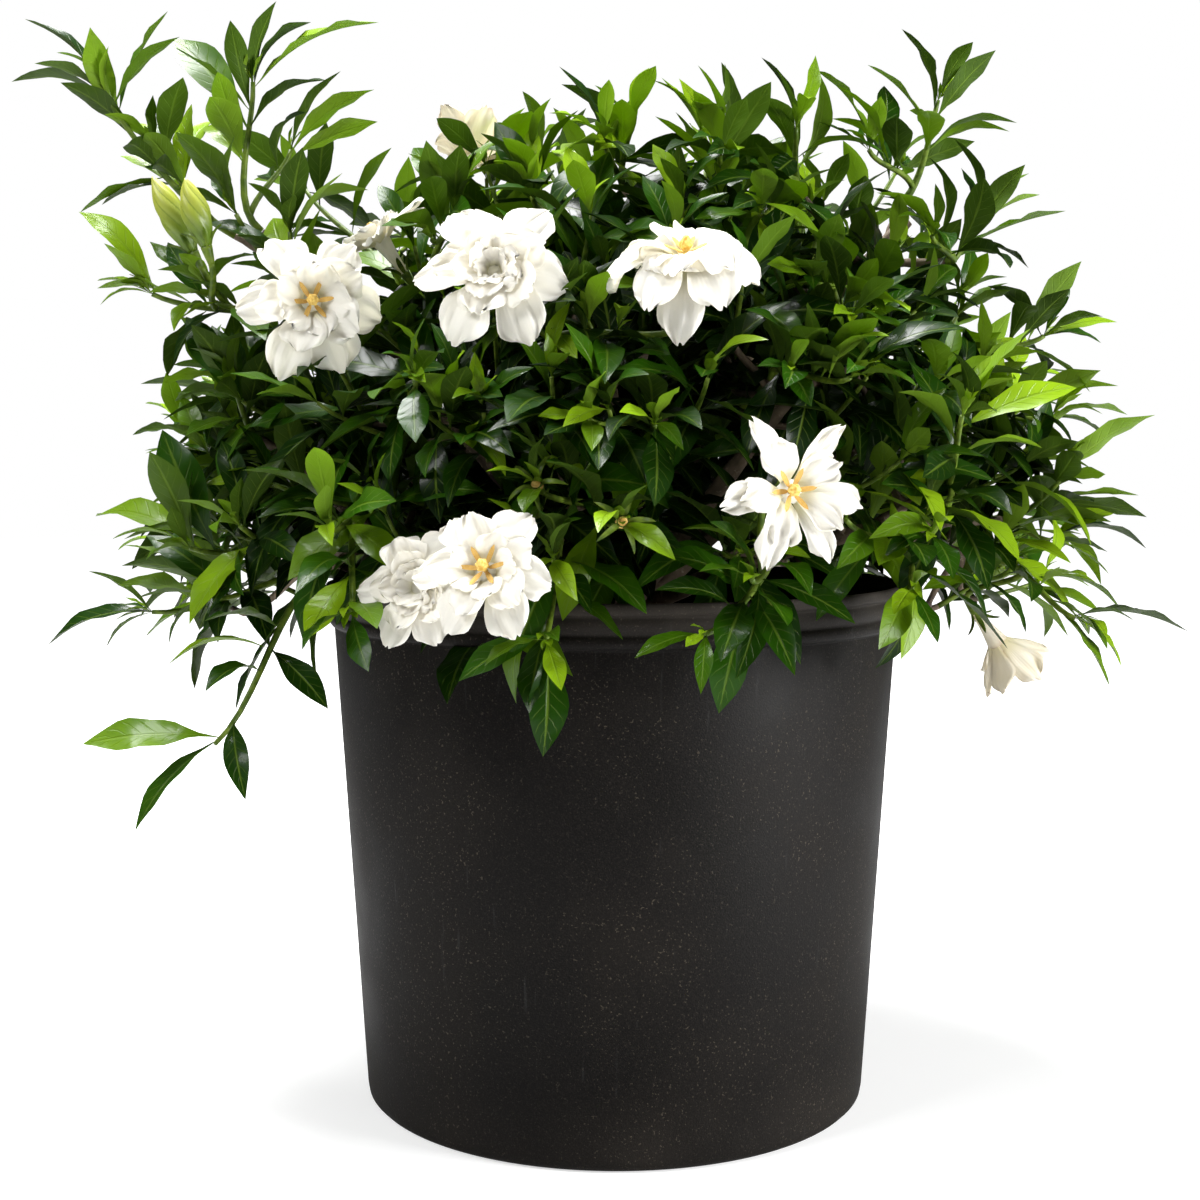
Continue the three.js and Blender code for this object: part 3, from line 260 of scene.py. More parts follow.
# Sprays in view: where each leaves its twig, then each shoot as its own tip and the tips of its
# leaves, all as across and down in the view and a depth in millimetres.
SEEN_SPRAYS = {
    "left_peak": [(262, 232, -5),
        [(253, 82, -10), (279, 3, -5), (233, 18, -25), (307, 11, 15), (379, 21, 20), (172, 45, -20),
         (171, 19, 10), (217, 70, -40), (325, 79, -35)],
        [(291, 150, 5), (377, 93, 0), (374, 122, 20), (340, 70, -15), (311, 115, -35)]],
    "left_tip": [(236, 236, 5),
        [(108, 100, -15), (22, 23, -20), (87, 29, -35), (167, 11, 0), (169, 24, -25), (14, 80, -5),
         (61, 82, -30)],
        [(158, 150, -5), (187, 78, -30), (193, 102, 15), (117, 160, 10), (142, 135, -40)]],
    "left_shoulder": [(300, 300, -30),
        [(290, 232, -45), (306, 148, -65), (344, 173, -50), (371, 189, -20), (201, 222, -30)],
        [(236, 214, -35), (178, 131, -60)]],
    "left_arm": [(268, 312, -30),
        [(152, 294, -45), (76, 214, -40), (156, 267, -70), (97, 291, -45), (153, 241, -25)],
        [(216, 302, -50), (187, 283, -75)]],
    "left_bend": [(262, 440, -40),
        [(236, 392, -55), (193, 325, -70), (176, 316, -45), (267, 350, -75), (223, 414, -30)]],
    "left_low": [(306, 545, -50),
        [(190, 548, -85), (155, 448, -110), (124, 543, -90), (99, 508, -40), (164, 429, -70),
         (192, 442, -90)],
        [(240, 526, -95), (289, 457, -125), (223, 440, -70)]],
    "left_reach": [(300, 572, -20),
        [(152, 612, -40), (50, 650, -35), (118, 583, -60), (137, 561, -30), (146, 640, -10)],
        [(215, 598, -50), (209, 616, -80)]],
    "trailing": [(330, 566, -70),
        [(215, 744, -120), (82, 746, -130), (135, 832, -135), (251, 802, -140), (201, 695, -140),
         (201, 626, -125), (236, 712, -100)]],
    "front_left": [(360, 520, -90),
        [(330, 528, -140), (313, 444, -165), (255, 520, -150), (395, 500, -165)],
        [(352, 612, -150), (302, 640, -160), (400, 640, -178)]],
    "hanging": [(560, 540, -105),
        [(546, 640, -172), (545, 757, -180), (524, 712, -185), (459, 684, -190), (592, 610, -180)],
        [(553, 560, -160), (548, 520, -190), (575, 525, -175)]],
    "old_calyces": [(585, 505, -100),
        [(540, 489, -150), (500, 478, -150), (560, 440, -160)],
        [(620, 524, -165), (668, 512, -175)]],
    "rim_right": [(770, 560, -110),
        [(706, 634, -172), (655, 592, -180), (722, 664, -185), (790, 625, -182)],
        [(752, 580, -170), (706, 524, -190), (814, 600, -178)]],
    "rim_far_right": [(900, 540, -90),
        [(912, 590, -125), (872, 649, -145), (902, 661, -130), (986, 626, -110)],
        [(846, 520, -150), (838, 576, -170), (880, 560, -165)]],
    "right_front": [(935, 490, -80),
        [(930, 536, -135), (857, 544, -155), (1009, 521, -140), (990, 590, -130)],
        [(962, 416, -125), (1027, 326, -135), (1078, 395, -110), (951, 353, -145), (898, 391, -140)]],
    "right_low": [(1000, 560, -40),
        [(1075, 618, -60), (1187, 630, -60), (1112, 686, -70), (1111, 646, -90), (1123, 607, -40)],
        [(984, 580, -70), (1034, 605, -90), (1024, 634, -65)]],
    "right_sweep": [(1000, 520, -10),
        [(1050, 540, -20), (1111, 517, -30), (1148, 547, -10), (1045, 473, -60)],
        [(1060, 480, -45), (1154, 413, -60), (1139, 495, -40), (1075, 452, -75)]],
    "right_mid": [(990, 415, 0),
        [(1050, 418, 0), (1118, 383, 0), (1127, 419, 15), (1075, 451, -20)],
        [(1012, 412, -40), (1042, 374, -55), (1030, 450, -60)]],
    "right_high": [(990, 355, 0),
        [(1044, 336, 0), (1084, 263, -5), (1119, 327, 10), (1034, 302, -40), (985, 289, -20)]],
    "right_top": [(945, 262, -5),
        [(932, 236, -40), (930, 157, -60), (877, 189, -55), (986, 180, -45), (1068, 212, -20)],
        [(978, 222, 10), (1040, 198, 20), (958, 138, 10)]],
    "right_peak": [(905, 200, 15),
        [(938, 100, 5), (899, 29, -10), (994, 49, 0), (869, 65, 25), (1016, 119, 10)],
        [(869, 150, -10), (835, 89, -25), (818, 68, 5), (882, 115, -35), (894, 85, 20)]],
    "top_right": [(800, 190, 0),
        [(796, 128, -25), (778, 66, -30), (820, 76, -20), (763, 97, -45)],
        [(760, 215, -75), (745, 163, -100), (777, 190, -100), (730, 205, -90)]],
    "top_mid": [(715, 185, 0),
        [(700, 130, -20), (696, 67, -30), (722, 63, -5), (664, 76, -30)],
        [(720, 155, -50), (772, 84, -60), (704, 158, -80), (663, 150, -70)]],
    "top_left": [(625, 190, 10),
        [(630, 125, -5), (587, 99, -10), (620, 88, -30), (640, 90, 10)],
        [(604, 140, -30), (568, 119, -40), (561, 153, -60), (628, 160, -70)]],
    "top_low_left": [(545, 230, -10),
        [(532, 197, -45), (505, 134, -60), (480, 165, -60), (551, 184, -85)],
        [(535, 160, 10), (493, 124, 5), (537, 125, -5), (470, 144, 10)]],
    "saddle": [(455, 240, -20),
        [(462, 200, -30), (423, 141, -35), (457, 145, -55), (480, 150, -20), (409, 144, -10)],
        [(432, 240, -60), (433, 174, -75), (394, 225, -85), (383, 225, -60)]],
    "front_upper": [(560, 350, -80),
        [(558, 335, -120), (562, 265, -140), (580, 300, -145), (637, 257, -110)],
        [(618, 330, -110), (590, 345, -140), (660, 345, -140)]],
    "front_mid_left": [(430, 410, -70),
        [(415, 380, -130), (440, 350, -155), (375, 395, -145), (420, 440, -160)],
        [(470, 440, -130), (470, 370, -150), (510, 455, -165), (430, 480, -165)]],
    "front_mid": [(640, 420, -90),
        [(655, 425, -150), (655, 505, -180), (645, 370, -165), (610, 440, -180), (700, 430, -180)],
        [(590, 420, -145), (560, 380, -165), (545, 440, -170), (600, 475, -180)]],
    "front_right": [(770, 380, -80),
        [(790, 375, -135), (746, 312, -150), (778, 390, -165), (820, 330, -150)],
        [(850, 378, -130), (806, 306, -145), (868, 319, -150), (892, 334, -150), (966, 327, -130)]],
    "front_high_right": [(830, 290, -50),
        [(812, 278, -95), (809, 222, -115), (803, 256, -130), (777, 260, -110), (840, 230, -110)],
        [(850, 318, -110), (853, 273, -130), (914, 309, -120), (942, 263, -100)]],
}
OLD_CALYCES = "old_calyces"

# Sprays behind, in millimetres: where each leaves its twig, and the tips of its shoots
BACK_SPRAYS = {
    "back_left": [(-140, 75, 335), (-218, 120, 345), (-185, 165, 300)],
    "back_left_high": [(-110, 65, 395), (-168, 105, 455), (-115, 150, 435)],
    "back_mid": [(-35, 125, 345), (-70, 215, 350), (5, 225, 325)],
    "back_mid_high": [(-10, 85, 405), (-40, 125, 475), (35, 160, 445)],
    "back_right": [(130, 85, 345), (215, 125, 350), (165, 185, 315)],
    "back_right_high": [(105, 65, 400), (150, 100, 462), (95, 150, 440)],
    "back_low_left": [(-85, 95, 280), (-160, 170, 262), (-85, 215, 275)],
    "back_low_right": [(80, 100, 285), (60, 220, 272), (150, 165, 262)],
}
BACK_LEAVES_PER_SHOOT = 6

# Blooms: the middle of the flower, the way it faces, its reach in millimetres, its form, its spray
# and its looks. Those are its age, and where it differs from the rest: how far its petals fall, how
# rough and how much wider than in the frame they are, which fine petals it has within, and whether
# foliage may stand before it.
BLOOMS = {
    "left": ((313, 299, -105), (0.25, -0.95, 0.15), 33, "open", "left_shoulder", {"age": 0.05}),
    "middle": ((492, 264, -135), (-0.1, -0.9, 0.35), 33, "double", "front_upper", {"age": 0.08}),
    "right": ((686, 240, -130), (0, -0.45, 0.9), 36, "open", "front_upper",
        {"age": 0.16, "fall": 1.5, "fine": "overblown"}),
    "lower_right": ((795, 490, -178), (0.25, -0.95, 0.1), 31, "star", "rim_right",
        {"age": 0.1, "rough": 2.2, "spread": 1}),
    "rim_near": ((413, 584, -165), (-0.3, -0.9, 0.25), 26, "double", "front_left", {"age": 0.12}),
    "rim_bright": ((482, 565, -190), (-0.2, -0.85, 0.45), 28, "open", "hanging", {"age": 0}),
    "far_left": ((372, 228, 0), (-0.5, -0.1, 0.7), 30, "star", "saddle", {"age": 0.05, "fine": "open"}),
    "saddle_top": ((470, 152, 60), (0.1, 0.6, 0.75), 30, "old", "saddle",
        {"age": 0.4, "rough": 1.2, "half_hidden": True}),
    "hanging_old": ((1003, 650, 0), (0.55, 0.25, -0.7), 27, "old", "right_low",
        {"age": 0.36, "rough": 1.2}),
    "behind": ((640, 330, 250), (-0.1, 0.9, 0.35), 32, "double", "back_mid",
        {"age": 0.1, "half_hidden": True}),
}

# Each layer of petals: how many, their length and width as shares of the reach, and the angles from
# the flower's axis at which a petal leaves the mouth and at which it ends. Every second layer starts
# half a space on. Where a layer starts elsewhere, a sixth number gives that share of a space.
PETAL_LAYERS = {
    "open": [(6, 1, 0.5, 66, 108), (5, 0.8, 0.46, 40, 80)],
    "double": [(6, 1, 0.5, 66, 104), (5, 0.8, 0.48, 42, 70), (3, 0.56, 0.42, 14, 34)],
    "star": [(6, 1.05, 0.4, 58, 96)],
    "old": [(6, 1.05, 0.44, 30, 44)],
}
FINE_LAYERS = {
    "open": [(5, 0.58, 0.4, 30, 62)],
    "overblown": [(5, 0.62, 0.44, 40, 78), (1, 1.1, 0.42, 88, 150, 0.74)],
    "double": [(5, 0.62, 0.42, 26, 52), (4, 0.42, 0.34, 6, 24)],
    "star": [(5, 0.8, 0.48, 40, 92)],
    "old": [],
}
WITH_HEART = ("open", "star")

# Each bud's foot and point in the view
BUDS = {
    "left": ((193, 252, -62), (152, 176, -62)),
    "right": ((206, 246, -75), (185, 178, -78)),
}
BUDS_ON = "left_arm"

# Where the view shows pale young growth: across, down
YOUNG_PLACES = [
    (106, 60), (108, 100), (262, 35), (222, 95), (537, 125), (556, 150), (636, 95), (674, 65), (930, 525),
    (1066, 585), (1012, 345), (1100, 395), (1010, 205),
]
YOUNG_REACH = 34
YOUNG_TONE = 0.75

# Leaves get painted shade within the bush and painted light towards its outside: from a share of
# its reach on, over a further share, by this much. By how much they vary is given for its inside and its
# outside.
OUTER_FROM = 0.55
OUTER_DEPTH = 0.6
OUTER_PAINTED_LIGHT = 0.22
TONES_VARY = (0.25, 0.75)
TONE_RARITY = 2.2

# Foliage keeps out of the space before a flower or bud: the depths that this space lies between, and
# its radius, as a share of a bloom's reach or in metres
CLEAR_DEPTHS = (-0.004, 0.12)
CLEAR_OPEN = 0.92
CLEAR_HALF_HIDDEN = 0.55
CLEAR_BUD = 0.016

# The inner foliage: shoots by rule within a round body, and within this outline of the view. Those
# over a length have one whorl of leaves more. Their tips keep out of the body's core, and out of its
# rim in front. How strongly they head outward, upward and astray is given too.
FILL_MIDDLE = Vector((0, 0.03, 0.3))
FILL_REACH = Vector((0.238, 0.2, 0.168))
FILL_SHOOTS = 290
FILL_TRIES = 60 * FILL_SHOOTS
FILL_SPACING = 0.021
FILL_LOWEST = 0.32
FILL_CORE = 0.25
FILL_FRONT = 0.86
FILL_OUTWARD = 0.9
FILL_UPWARD = 0.45
FILL_ASTRAY = 0.7
FILL_TIP_RISE = 0.3
FILL_WHORLS = 3
FILL_WHORLS_FROM = 0.12
FILL_SEED = 4211
FILL_PIECES = 8
FILL_SHORTEST = 0.03
FILL_VARIES = 0.022
FILL_LONG = 0.042
FILL_SHOOT_RADII = (0.0015, 0.0009)
FILL_TWIG_RADII = (0.0019, 0.0015)
SHORTEST_TWIG = 0.004
FILL_FLOOR = 0.2
FILL_OUTLINE = [
    (60, 75), (165, 45), (290, 30), (345, 90), (350, 165), (420, 180), (470, 165), (540, 150),
    (620, 112), (700, 92), (790, 92), (880, 78), (975, 80), (985, 160), (1035, 220), (1062, 290),
    (1092, 350), (1104, 430), (1112, 520), (1118, 600), (1060, 655), (960, 640), (860, 640),
    (700, 632), (560, 640), (430, 625), (330, 605), (250, 600), (160, 600), (135, 560), (180, 440),
    (205, 330), (130, 275), (150, 205), (75, 130),
]


def seen(place):
    """The place of what the view shows at (across, down, depth in millimetres)."""
    across, down, depth = place
    right, rise = (across - VIEW_MIDDLE) / VIEW_FOCAL, (VIEW_MIDDLE - down) / VIEW_FOCAL
    ray = GAZE + VIEW_RIGHT * right + VIEW_RISE * rise
    return VIEW_PLACE + ray * ((depth * MM - VIEW_PLACE.y) / ray.y)


def in_view(place):
    """Where the view shows a place: across and down."""
    reach = place - VIEW_PLACE
    scale = VIEW_FOCAL / reach.dot(GAZE)
    return VIEW_MIDDLE + scale * reach.dot(VIEW_RIGHT), VIEW_MIDDLE - scale * reach.dot(VIEW_RISE)


def draws(seed):
    """A repeatable stream of draws between 0 and 1."""
    state = seed

    def draw():
        nonlocal state
        state = state * 16807 % 2147483647
        return state / 2147483647

    return draw


def nudge(draw):
    """A short random way."""
    return Vector((draw() - 0.5, draw() - 0.5, draw() - 0.5))


def blend(a, b, share):
    """The value at a share of the way from a to b."""
    return a + (b - a) * share


def turns(count, start=0):
    """The angles of so many places round a circle, the first a share of a space on."""
    return [2 * pi * (i + start) / count for i in range(count)]


def square(forward):
    """Two directions square to the one given, so that side x lift = forward."""
    helper = UP if abs(forward.z) < 0.9 else Vector((0, 1, 0))
    side = helper.cross(forward).normalized()
    return side, forward.cross(side)


def squared(way, along):
    """A direction turned until it is square to another."""
    return (way - along * way.dot(along)).normalized()


def spoke(side, lift, turn):
    """The direction turned from the first of two towards the second."""
    return side * cos(turn) + lift * sin(turn)


def inside(place, outline):
    """Whether a flat place lies within a closed outline."""
    x, y = place
    crossings = 0
    for (ax, ay), (bx, by) in zip(outline, outline[1:] + outline[:1]):
        if (ay > y) != (by > y) and x < ax + (bx - ax) * (y - ay) / (by - ay):
            crossings += 1
    return crossings % 2 == 1


# Curves: each is a function that gives the point at a share of its way.


def bezier(start, first, second, end):
    """A cubic curve."""

    def point(t):
        s = 1 - t
        return start * s**3 + first * (3 * s * s * t) + second * (3 * s * t * t) + end * t**3

    return point


def straight(foot, way, *heights):
    """A straight line, by its four heights over its foot."""
    return bezier(*[foot + way * height for height in heights])


def between(start, end):
    """A straight line from one point to another."""
    return bezier(start, start.lerp(end, 0.33), start.lerp(end, 0.66), end)


def through(points):
    """A smooth curve through points, its knots spaced by the roots of their distances."""

    def point(t):
        place = (len(points) - 1) * t
        i = min(int(place), len(points) - 2)
        w = place - i
        b, c = points[i], points[i + 1]
        a = points[i - 1] if i else b * 2 - c
        d = points[i + 2] if i + 2 < len(points) else c * 2 - b
        before, here, after = (sqrt((q - p).length) for p, q in ((a, b), (b, c), (c, d)))
        leave = ((b - a) / before - (c - a) / (before + here) + (c - b) / here) * here
        arrive = ((c - b) / here - (d - b) / (here + after) + (d - c) / after) * here
        second, third = c * 3 - b * 3 - leave * 2 - arrive, b * 2 - c * 2 + leave + arrive
        return b + leave * w + second * w**2 + third * w**3

    return point


def heading(curve, t):
    """The way a curve heads at a share of its way."""
    return (curve(min(1, t + 0.002)) - curve(max(0, t - 0.002))).normalized()


def on_stem(curve, share):
    """A place on the middle line of the frame's stem, which is straight between its rings."""
    ring = min(FRAME_RINGS - 1, int(share * FRAME_RINGS))
    return curve(ring / FRAME_RINGS).lerp(curve((ring + 1) / FRAME_RINGS), share * FRAME_RINGS - ring)


# Mesh tools


def new_body():
    """An empty bmesh with a UV map and the marks that the finishes read."""
    body = bmesh.new()
    body.loops.layers.uv.new("UVMap")
    body.faces.layers.float.new("under")
    body.verts.layers.float.new("tone")
    return body


def add_corner(body, place, tone=0.0):
    """A vertex with its tone."""
    corner = body.verts.new(place)
    corner[body.verts.layers.float["tone"]] = tone
    return corner


def add_face(body, corners, places, under=0.0, slot=0):
    """A face with its places in the UV map. A corner that comes twice counts once."""
    around = dict(zip(corners, places))
    if len(around) < 3:
        return
    face = body.faces.new(list(around))
    face.material_index = slot
    face[body.faces.layers.float["under"]] = under
    for loop, place in zip(face.loops, around.values()):
        loop[body.loops.layers.uv["UVMap"]].uv = place


def finish_body(body, name, *materials):
    """A smooth mesh from a bmesh, with its doubles merged. The rims of thin bodies stay sharp."""
    bmesh.ops.remove_doubles(body, verts=body.verts, dist=1e-6)
    flat = [face for face in body.faces if face.calc_area() < 1e-14]
    bmesh.ops.delete(body, geom=flat, context="FACES_ONLY")
    loose = [corner for corner in body.verts if not corner.link_faces]
    bmesh.ops.delete(body, geom=loose, context="VERTS")
    under_mark = body.faces.layers.float["under"]
    for face in body.faces:
        face.smooth = True
    for edge in body.edges:
        edge.smooth = len({face[under_mark] for face in edge.link_faces}) < 2
    mesh = bpy.data.meshes.new(name)
    body.to_mesh(mesh)
    body.free()
    for material in materials:
        mesh.materials.append(material)
    return mesh


def thin_body(body, place, rows, columns, thickness, tone=0.0):
    """A thin closed body. place(s, t) gives a point of its upper face and the way up there, with s
    from 0 to 1 along it and t from -1 to 1 across. Its two faces meet at the rim, and are split
    into triangles alike, so that they don't cross."""
    grid = {}
    for i, j in product(range(rows + 1), range(columns + 1)):
        point, up = place(i / rows, 2 * j / columns - 1)
        top = low = add_corner(body, point, tone)
        if 0 < i < rows and 0 < j < columns:
            low = add_corner(body, point - up * thickness, tone)
        grid[i, j] = top, low
    for i, j in product(range(rows), range(columns)):
        for around in (((i, j), (i, j + 1), (i + 1, j + 1)), ((i, j), (i + 1, j + 1), (i + 1, j))):
            tops, lows = zip(*[grid[key] for key in around])
            if tops != lows:
                places = [(b / columns, a / rows) for a, b in around]
                add_face(body, tops, places)
                add_face(body, lows[::-1], places[::-1], under=1.0)


def skin(body, rings, slot=0):
    """Faces between rings of corners, each with its share of the way. A ring of one is a pole."""
    sides = len(rings[1][1])
    for (start, low), (end, high) in zip(rings, rings[1:]):
        pole = len(low) == 1 or len(high) == 1
        for j in range(sides):
            k = (j + 1) % sides
            corners = [low[j % len(low)], low[k % len(low)], high[k % len(high)], high[j % len(high)]]
            left, right = (0, 0) if pole else (j / sides, (j + 1) / sides)
            add_face(body, corners, [(left, start), (right, start), (right, end), (left, end)], slot=slot)


def tube(body, curve, steps, sides, radius, slot=0, tone=0.0):
    """A round body along a curve, its ends closed. radius(share, turn) gives its radius."""
    side = square(heading(curve, 0))[0]
    rings = [(0, [add_corner(body, curve(0), tone)])]
    for share in [i / steps for i in range(steps + 1)]:
        along = heading(curve, share)
        side = squared(side, along)
        outs = [spoke(side, along.cross(side), turn) * radius(share, turn) for turn in turns(sides)]
        rings.append((share, [add_corner(body, curve(share) + out, tone) for out in outs]))
    rings.append((1, [add_corner(body, curve(1), tone)]))
    skin(body, rings, slot)


def turned(body, outline, sides):
    """A round body about the upright axis, from an outline of (radius, height) that goes
    anticlockwise and starts and ends on the axis."""
    skin(body, [(i / len(outline), [
        add_corner(body, (radius * cos(turn), radius * sin(turn), height))
        for turn in turns(sides if radius else 1)]) for i, (radius, height) in enumerate(outline)])


def placed(name, data):
    """A mesh, lamp or camera as an object in the scene."""
    one = bpy.data.objects.new(name, data)
    bpy.context.scene.collection.objects.link(one)
    return one


def settled(one):
    """The plain mesh of an object with its modifiers worked in. The object itself goes."""
    depsgraph = bpy.context.evaluated_depsgraph_get()
    mesh = bpy.data.meshes.new_from_object(
        one.evaluated_get(depsgraph), preserve_all_data_layers=True, depsgraph=depsgraph)
    bpy.data.objects.remove(one)
    return mesh


def joined(name, *meshes):
    """One mesh from several, with all their materials and marks."""
    objects = [placed(name, mesh) for mesh in meshes]
    with bpy.context.temp_override(active_object=objects[0], object=objects[0],
                                   selected_objects=objects, selected_editable_objects=objects):
        bpy.ops.object.join()
    mesh = objects[0].data
    bpy.data.objects.remove(objects[0])
    return mesh


def piece(name, mesh, slot, *nodes):
    """A finished piece of the plant, in place of the frame's nodes that it stands for."""
    mesh.name = name
    one = placed(name, mesh)
    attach(one, "root")
    if nodes:
        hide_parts(*nodes)


# Node tools. Numbers, colours and places in a tree are sockets.


def feed(socket, value):
    """Links a socket to an input, or sets a value there. None leaves it as it is."""
    if isinstance(value, bpy.types.NodeSocket):
        socket.id_data.links.new(value, socket)
    elif value is not None:
        socket.default_value = (*value, 1) if socket.type == "RGBA" else value


def add(tree, kind, *inputs, out=0, **more):
    """One output of a new node. Its inputs come in order, or by name with a capital. What has no
    capital is a setting of the node."""
    node = tree.nodes.new(kind)
    for key, value in more.items():
        if key[0].islower():
            setattr(node, key, value)
    for socket, value in zip(node.inputs, inputs):
        feed(socket, value)
    for key, value in more.items():
        if key[0].isupper():
            feed(next(s for s in node.inputs if s.name == key.replace("_", " ") and s.enabled), value)
    return node.outputs[out]


def maths(operation, first, *rest):
    """The result of a sum on numbers, of which the first is a socket."""
    return add(first.id_data, "ShaderNodeMath", first, *rest, operation=operation)


times = partial(maths, "MULTIPLY")
plus = partial(maths, "ADD")
minus = partial(maths, "SUBTRACT")
larger = partial(maths, "MAXIMUM")


def fade(value, low, high, start=0.0, end=1.0):
    """A number carried smoothly from one range to another."""
    tree = value.id_data
    return add(tree, "ShaderNodeMapRange", value, low, high, start, end, interpolation_type="SMOOTHSTEP")


def mixed(share, first, second):
    """A colour between two."""
    return add(share.id_data, "ShaderNodeMix", data_type="RGBA", out=2, Factor=share, A=first, B=second)


def own_places(tree):
    """The object's own places."""
    return add(tree, "ShaderNodeTexCoord", out=3)


def noise(tree, scale, detail=4.0, places=None):
    """Cloudy noise between 0 and 1."""
    return add(tree, "ShaderNodeTexNoise", places or own_places(tree), None, scale, detail)


def mark(tree, name):
    """A number that the mesh carries."""
    return add(tree, "ShaderNodeAttribute", out=2, attribute_name=name)


def across_and_along(tree):
    """The two numbers of the UV map."""
    across = add(tree, "ShaderNodeSeparateXYZ", add(tree, "ShaderNodeUVMap", uv_map="UVMap"))
    return across, across.node.outputs[1]


def from_middle(across):
    """How far a place is from the middle of a blade, 1 at its rim."""
    return times(maths("ABSOLUTE", minus(across, 0.5)), 2.0)


def new_finish(name, **values):
    """A material with constant values on its shader, and its tree."""
    finish = bpy.data.materials.new(name)
    finish.use_nodes = True
    for key, value in values.items():
        feed(finish.node_tree.nodes["Principled BSDF"].inputs[key.replace("_", " ")], value)
    return finish, finish.node_tree


def dress(tree, colour, roughness, height, strength, depth):
    """Gives a finish its colour, its roughness and its small relief."""
    relief = add(tree, "ShaderNodeBump", strength, depth, None, height)
    for key, value in (("Base Color", colour), ("Roughness", roughness), ("Normal", relief)):
        feed(tree.nodes["Principled BSDF"].inputs[key], value)


def let_light_through(tree, colour, share):
    """Makes a finish thin tissue that glows with the light behind it."""
    thin = add(tree, "ShaderNodeBsdfTranslucent", colour)
    both = add(tree, "ShaderNodeMixShader", share, tree.nodes["Principled BSDF"].outputs[0], thin)
    feed(tree.nodes["Material Output"].inputs["Surface"], both)


# Finishes


def glossy_leaf():
    """Waxy dark leaf: pale midrib, sunken side veins, dull pale underside, brighter when young, with
    painted shade within the bush and painted light at its outside.
    """
    finish, tree = new_finish("Glossy leaf", Coat_Weight=0.12, Coat_Roughness=0.14, Specular_IOR_Level=0.11)
    across, along = across_and_along(tree)
    from_rib = from_middle(across)
    slope = minus(times(along, 9.0), times(from_rib, 1.6))
    side_vein = fade(maths("PINGPONG", slope, 0.5), 0.0, 0.1, 0.5, 0.0)
    side_vein = times(side_vein, fade(from_rib, 0.55, 1.0, 1.0, 0.0))
    veins = larger(fade(from_rib, 0.03, 0.12, 1.0, 0.0), side_vein)
    cloud = noise(tree, 55.0)
    # The tone holds a leaf's youth, and also painted shade within the bush and painted light at its
    # outside.
    tone = plus(mark(tree, "tone"), times(minus(cloud, 0.5), 0.22))
    top = mixed(fade(tone, 0.0, 0.5), (0.0015, 0.0075, 0.0005), (0.017, 0.071, 0.0012))
    top = mixed(fade(tone, 0.4, 0.95), top, (0.23, 0.38, 0.008))
    under = mark(tree, "under")
    pale = mixed(fade(tone, 0.0, 0.6), (0.03, 0.06, 0.006), (0.11, 0.18, 0.02))
    colour = mixed(times(veins, 0.4), mixed(times(under, 0.65), top, pale), (0.19, 0.3, 0.03))
    roughness = plus(fade(under, 0.0, 1.0, 0.28, 0.55), times(cloud, 0.12))
    dress(tree, colour, roughness, minus(times(cloud, 0.15), veins), 0.6, 0.0006)
    let_light_through(tree, mixed(fade(tone, 0.0, 0.8), (0.012, 0.06, 0.001), (0.44, 0.64, 0.015)), 0.28)
    return finish


def green_stem():
    """Young stem, stalk and calyx: smooth green, with paler streaks."""
    finish, tree = new_finish("Green stem", Specular_IOR_Level=0.2)
    streaks = noise(tree, 220.0)
    colour = mixed(fade(streaks, 0.35, 0.7), (0.05, 0.09, 0.008), (0.13, 0.19, 0.018))
    dress(tree, colour, fade(streaks, 0.3, 0.7, 0.35, 0.5), streaks, 0.2, 0.0004)
    return finish


def waxy_petal():
    """Thick white petal: cream at its foot, fine lengthwise veins, yellow and brown with age."""
    finish, tree = new_finish("Waxy petal")
    across, along = across_and_along(tree)
    age = mark(tree, "tone")
    cloud = noise(tree, 90.0)
    fresh = mixed(fade(along, 0.05, 0.5), (0.84, 0.83, 0.56), (0.97, 0.958, 0.915))
    soft = mixed(fade(plus(age, times(cloud, 0.3)), 0.25, 1.0), fresh, (0.78, 0.6, 0.27))
    worn = times(fade(larger(from_middle(across), along), 0.72, 1.0), age)
    colour = mixed(fade(plus(worn, times(cloud, 0.35)), 0.42, 0.75), soft, (0.3, 0.16, 0.055))
    veins = times(maths("SINE", times(across, 75.0)), 0.25)
    dress(tree, colour, fade(cloud, 0.3, 0.7, 0.42, 0.58), plus(veins, cloud), 0.22, 0.0005)
    let_light_through(tree, (0.99, 0.955, 0.85), 0.38)
    return finish


def furled_bud():
    """Furled petals of a bud: green at the foot and along the folds, yellow-green at the point."""
    finish, tree = new_finish("Furled bud")
    across, along = across_and_along(tree)
    cloud = noise(tree, 120.0)
    spiral = times(plus(times(across, 2 * pi), times(along, BUD_TWIST)), BUD_RIDGES / 2)
    fold = fade(maths("ABSOLUTE", maths("SINE", spiral)), 0.0, 0.3, 0.6, 0.0)
    colour = mixed(fade(along, 0.1, 0.95), (0.09, 0.16, 0.004), (0.4, 0.43, 0.055))
    colour = mixed(fold, colour, (0.08, 0.14, 0.006))
    dress(tree, colour, fade(cloud, 0.3, 0.7, 0.4, 0.5), cloud, 0.2, 0.0004)
    let_light_through(tree, (0.38, 0.44, 0.02), 0.12)
    return finish


def pollen_heart():
    """Yellow club and brown-yellow anthers, dusted with pollen."""
    finish, tree = new_finish("Pollen heart")
    grain = noise(tree, 700.0)
    fresh = mixed(fade(grain, 0.35, 0.65), (0.62, 0.36, 0.05), (0.9, 0.66, 0.2))
    dress(tree, mixed(mark(tree, "tone"), fresh, (0.58, 0.35, 0.09)), 0.8, grain, 0.5, 0.0004)
    return finish


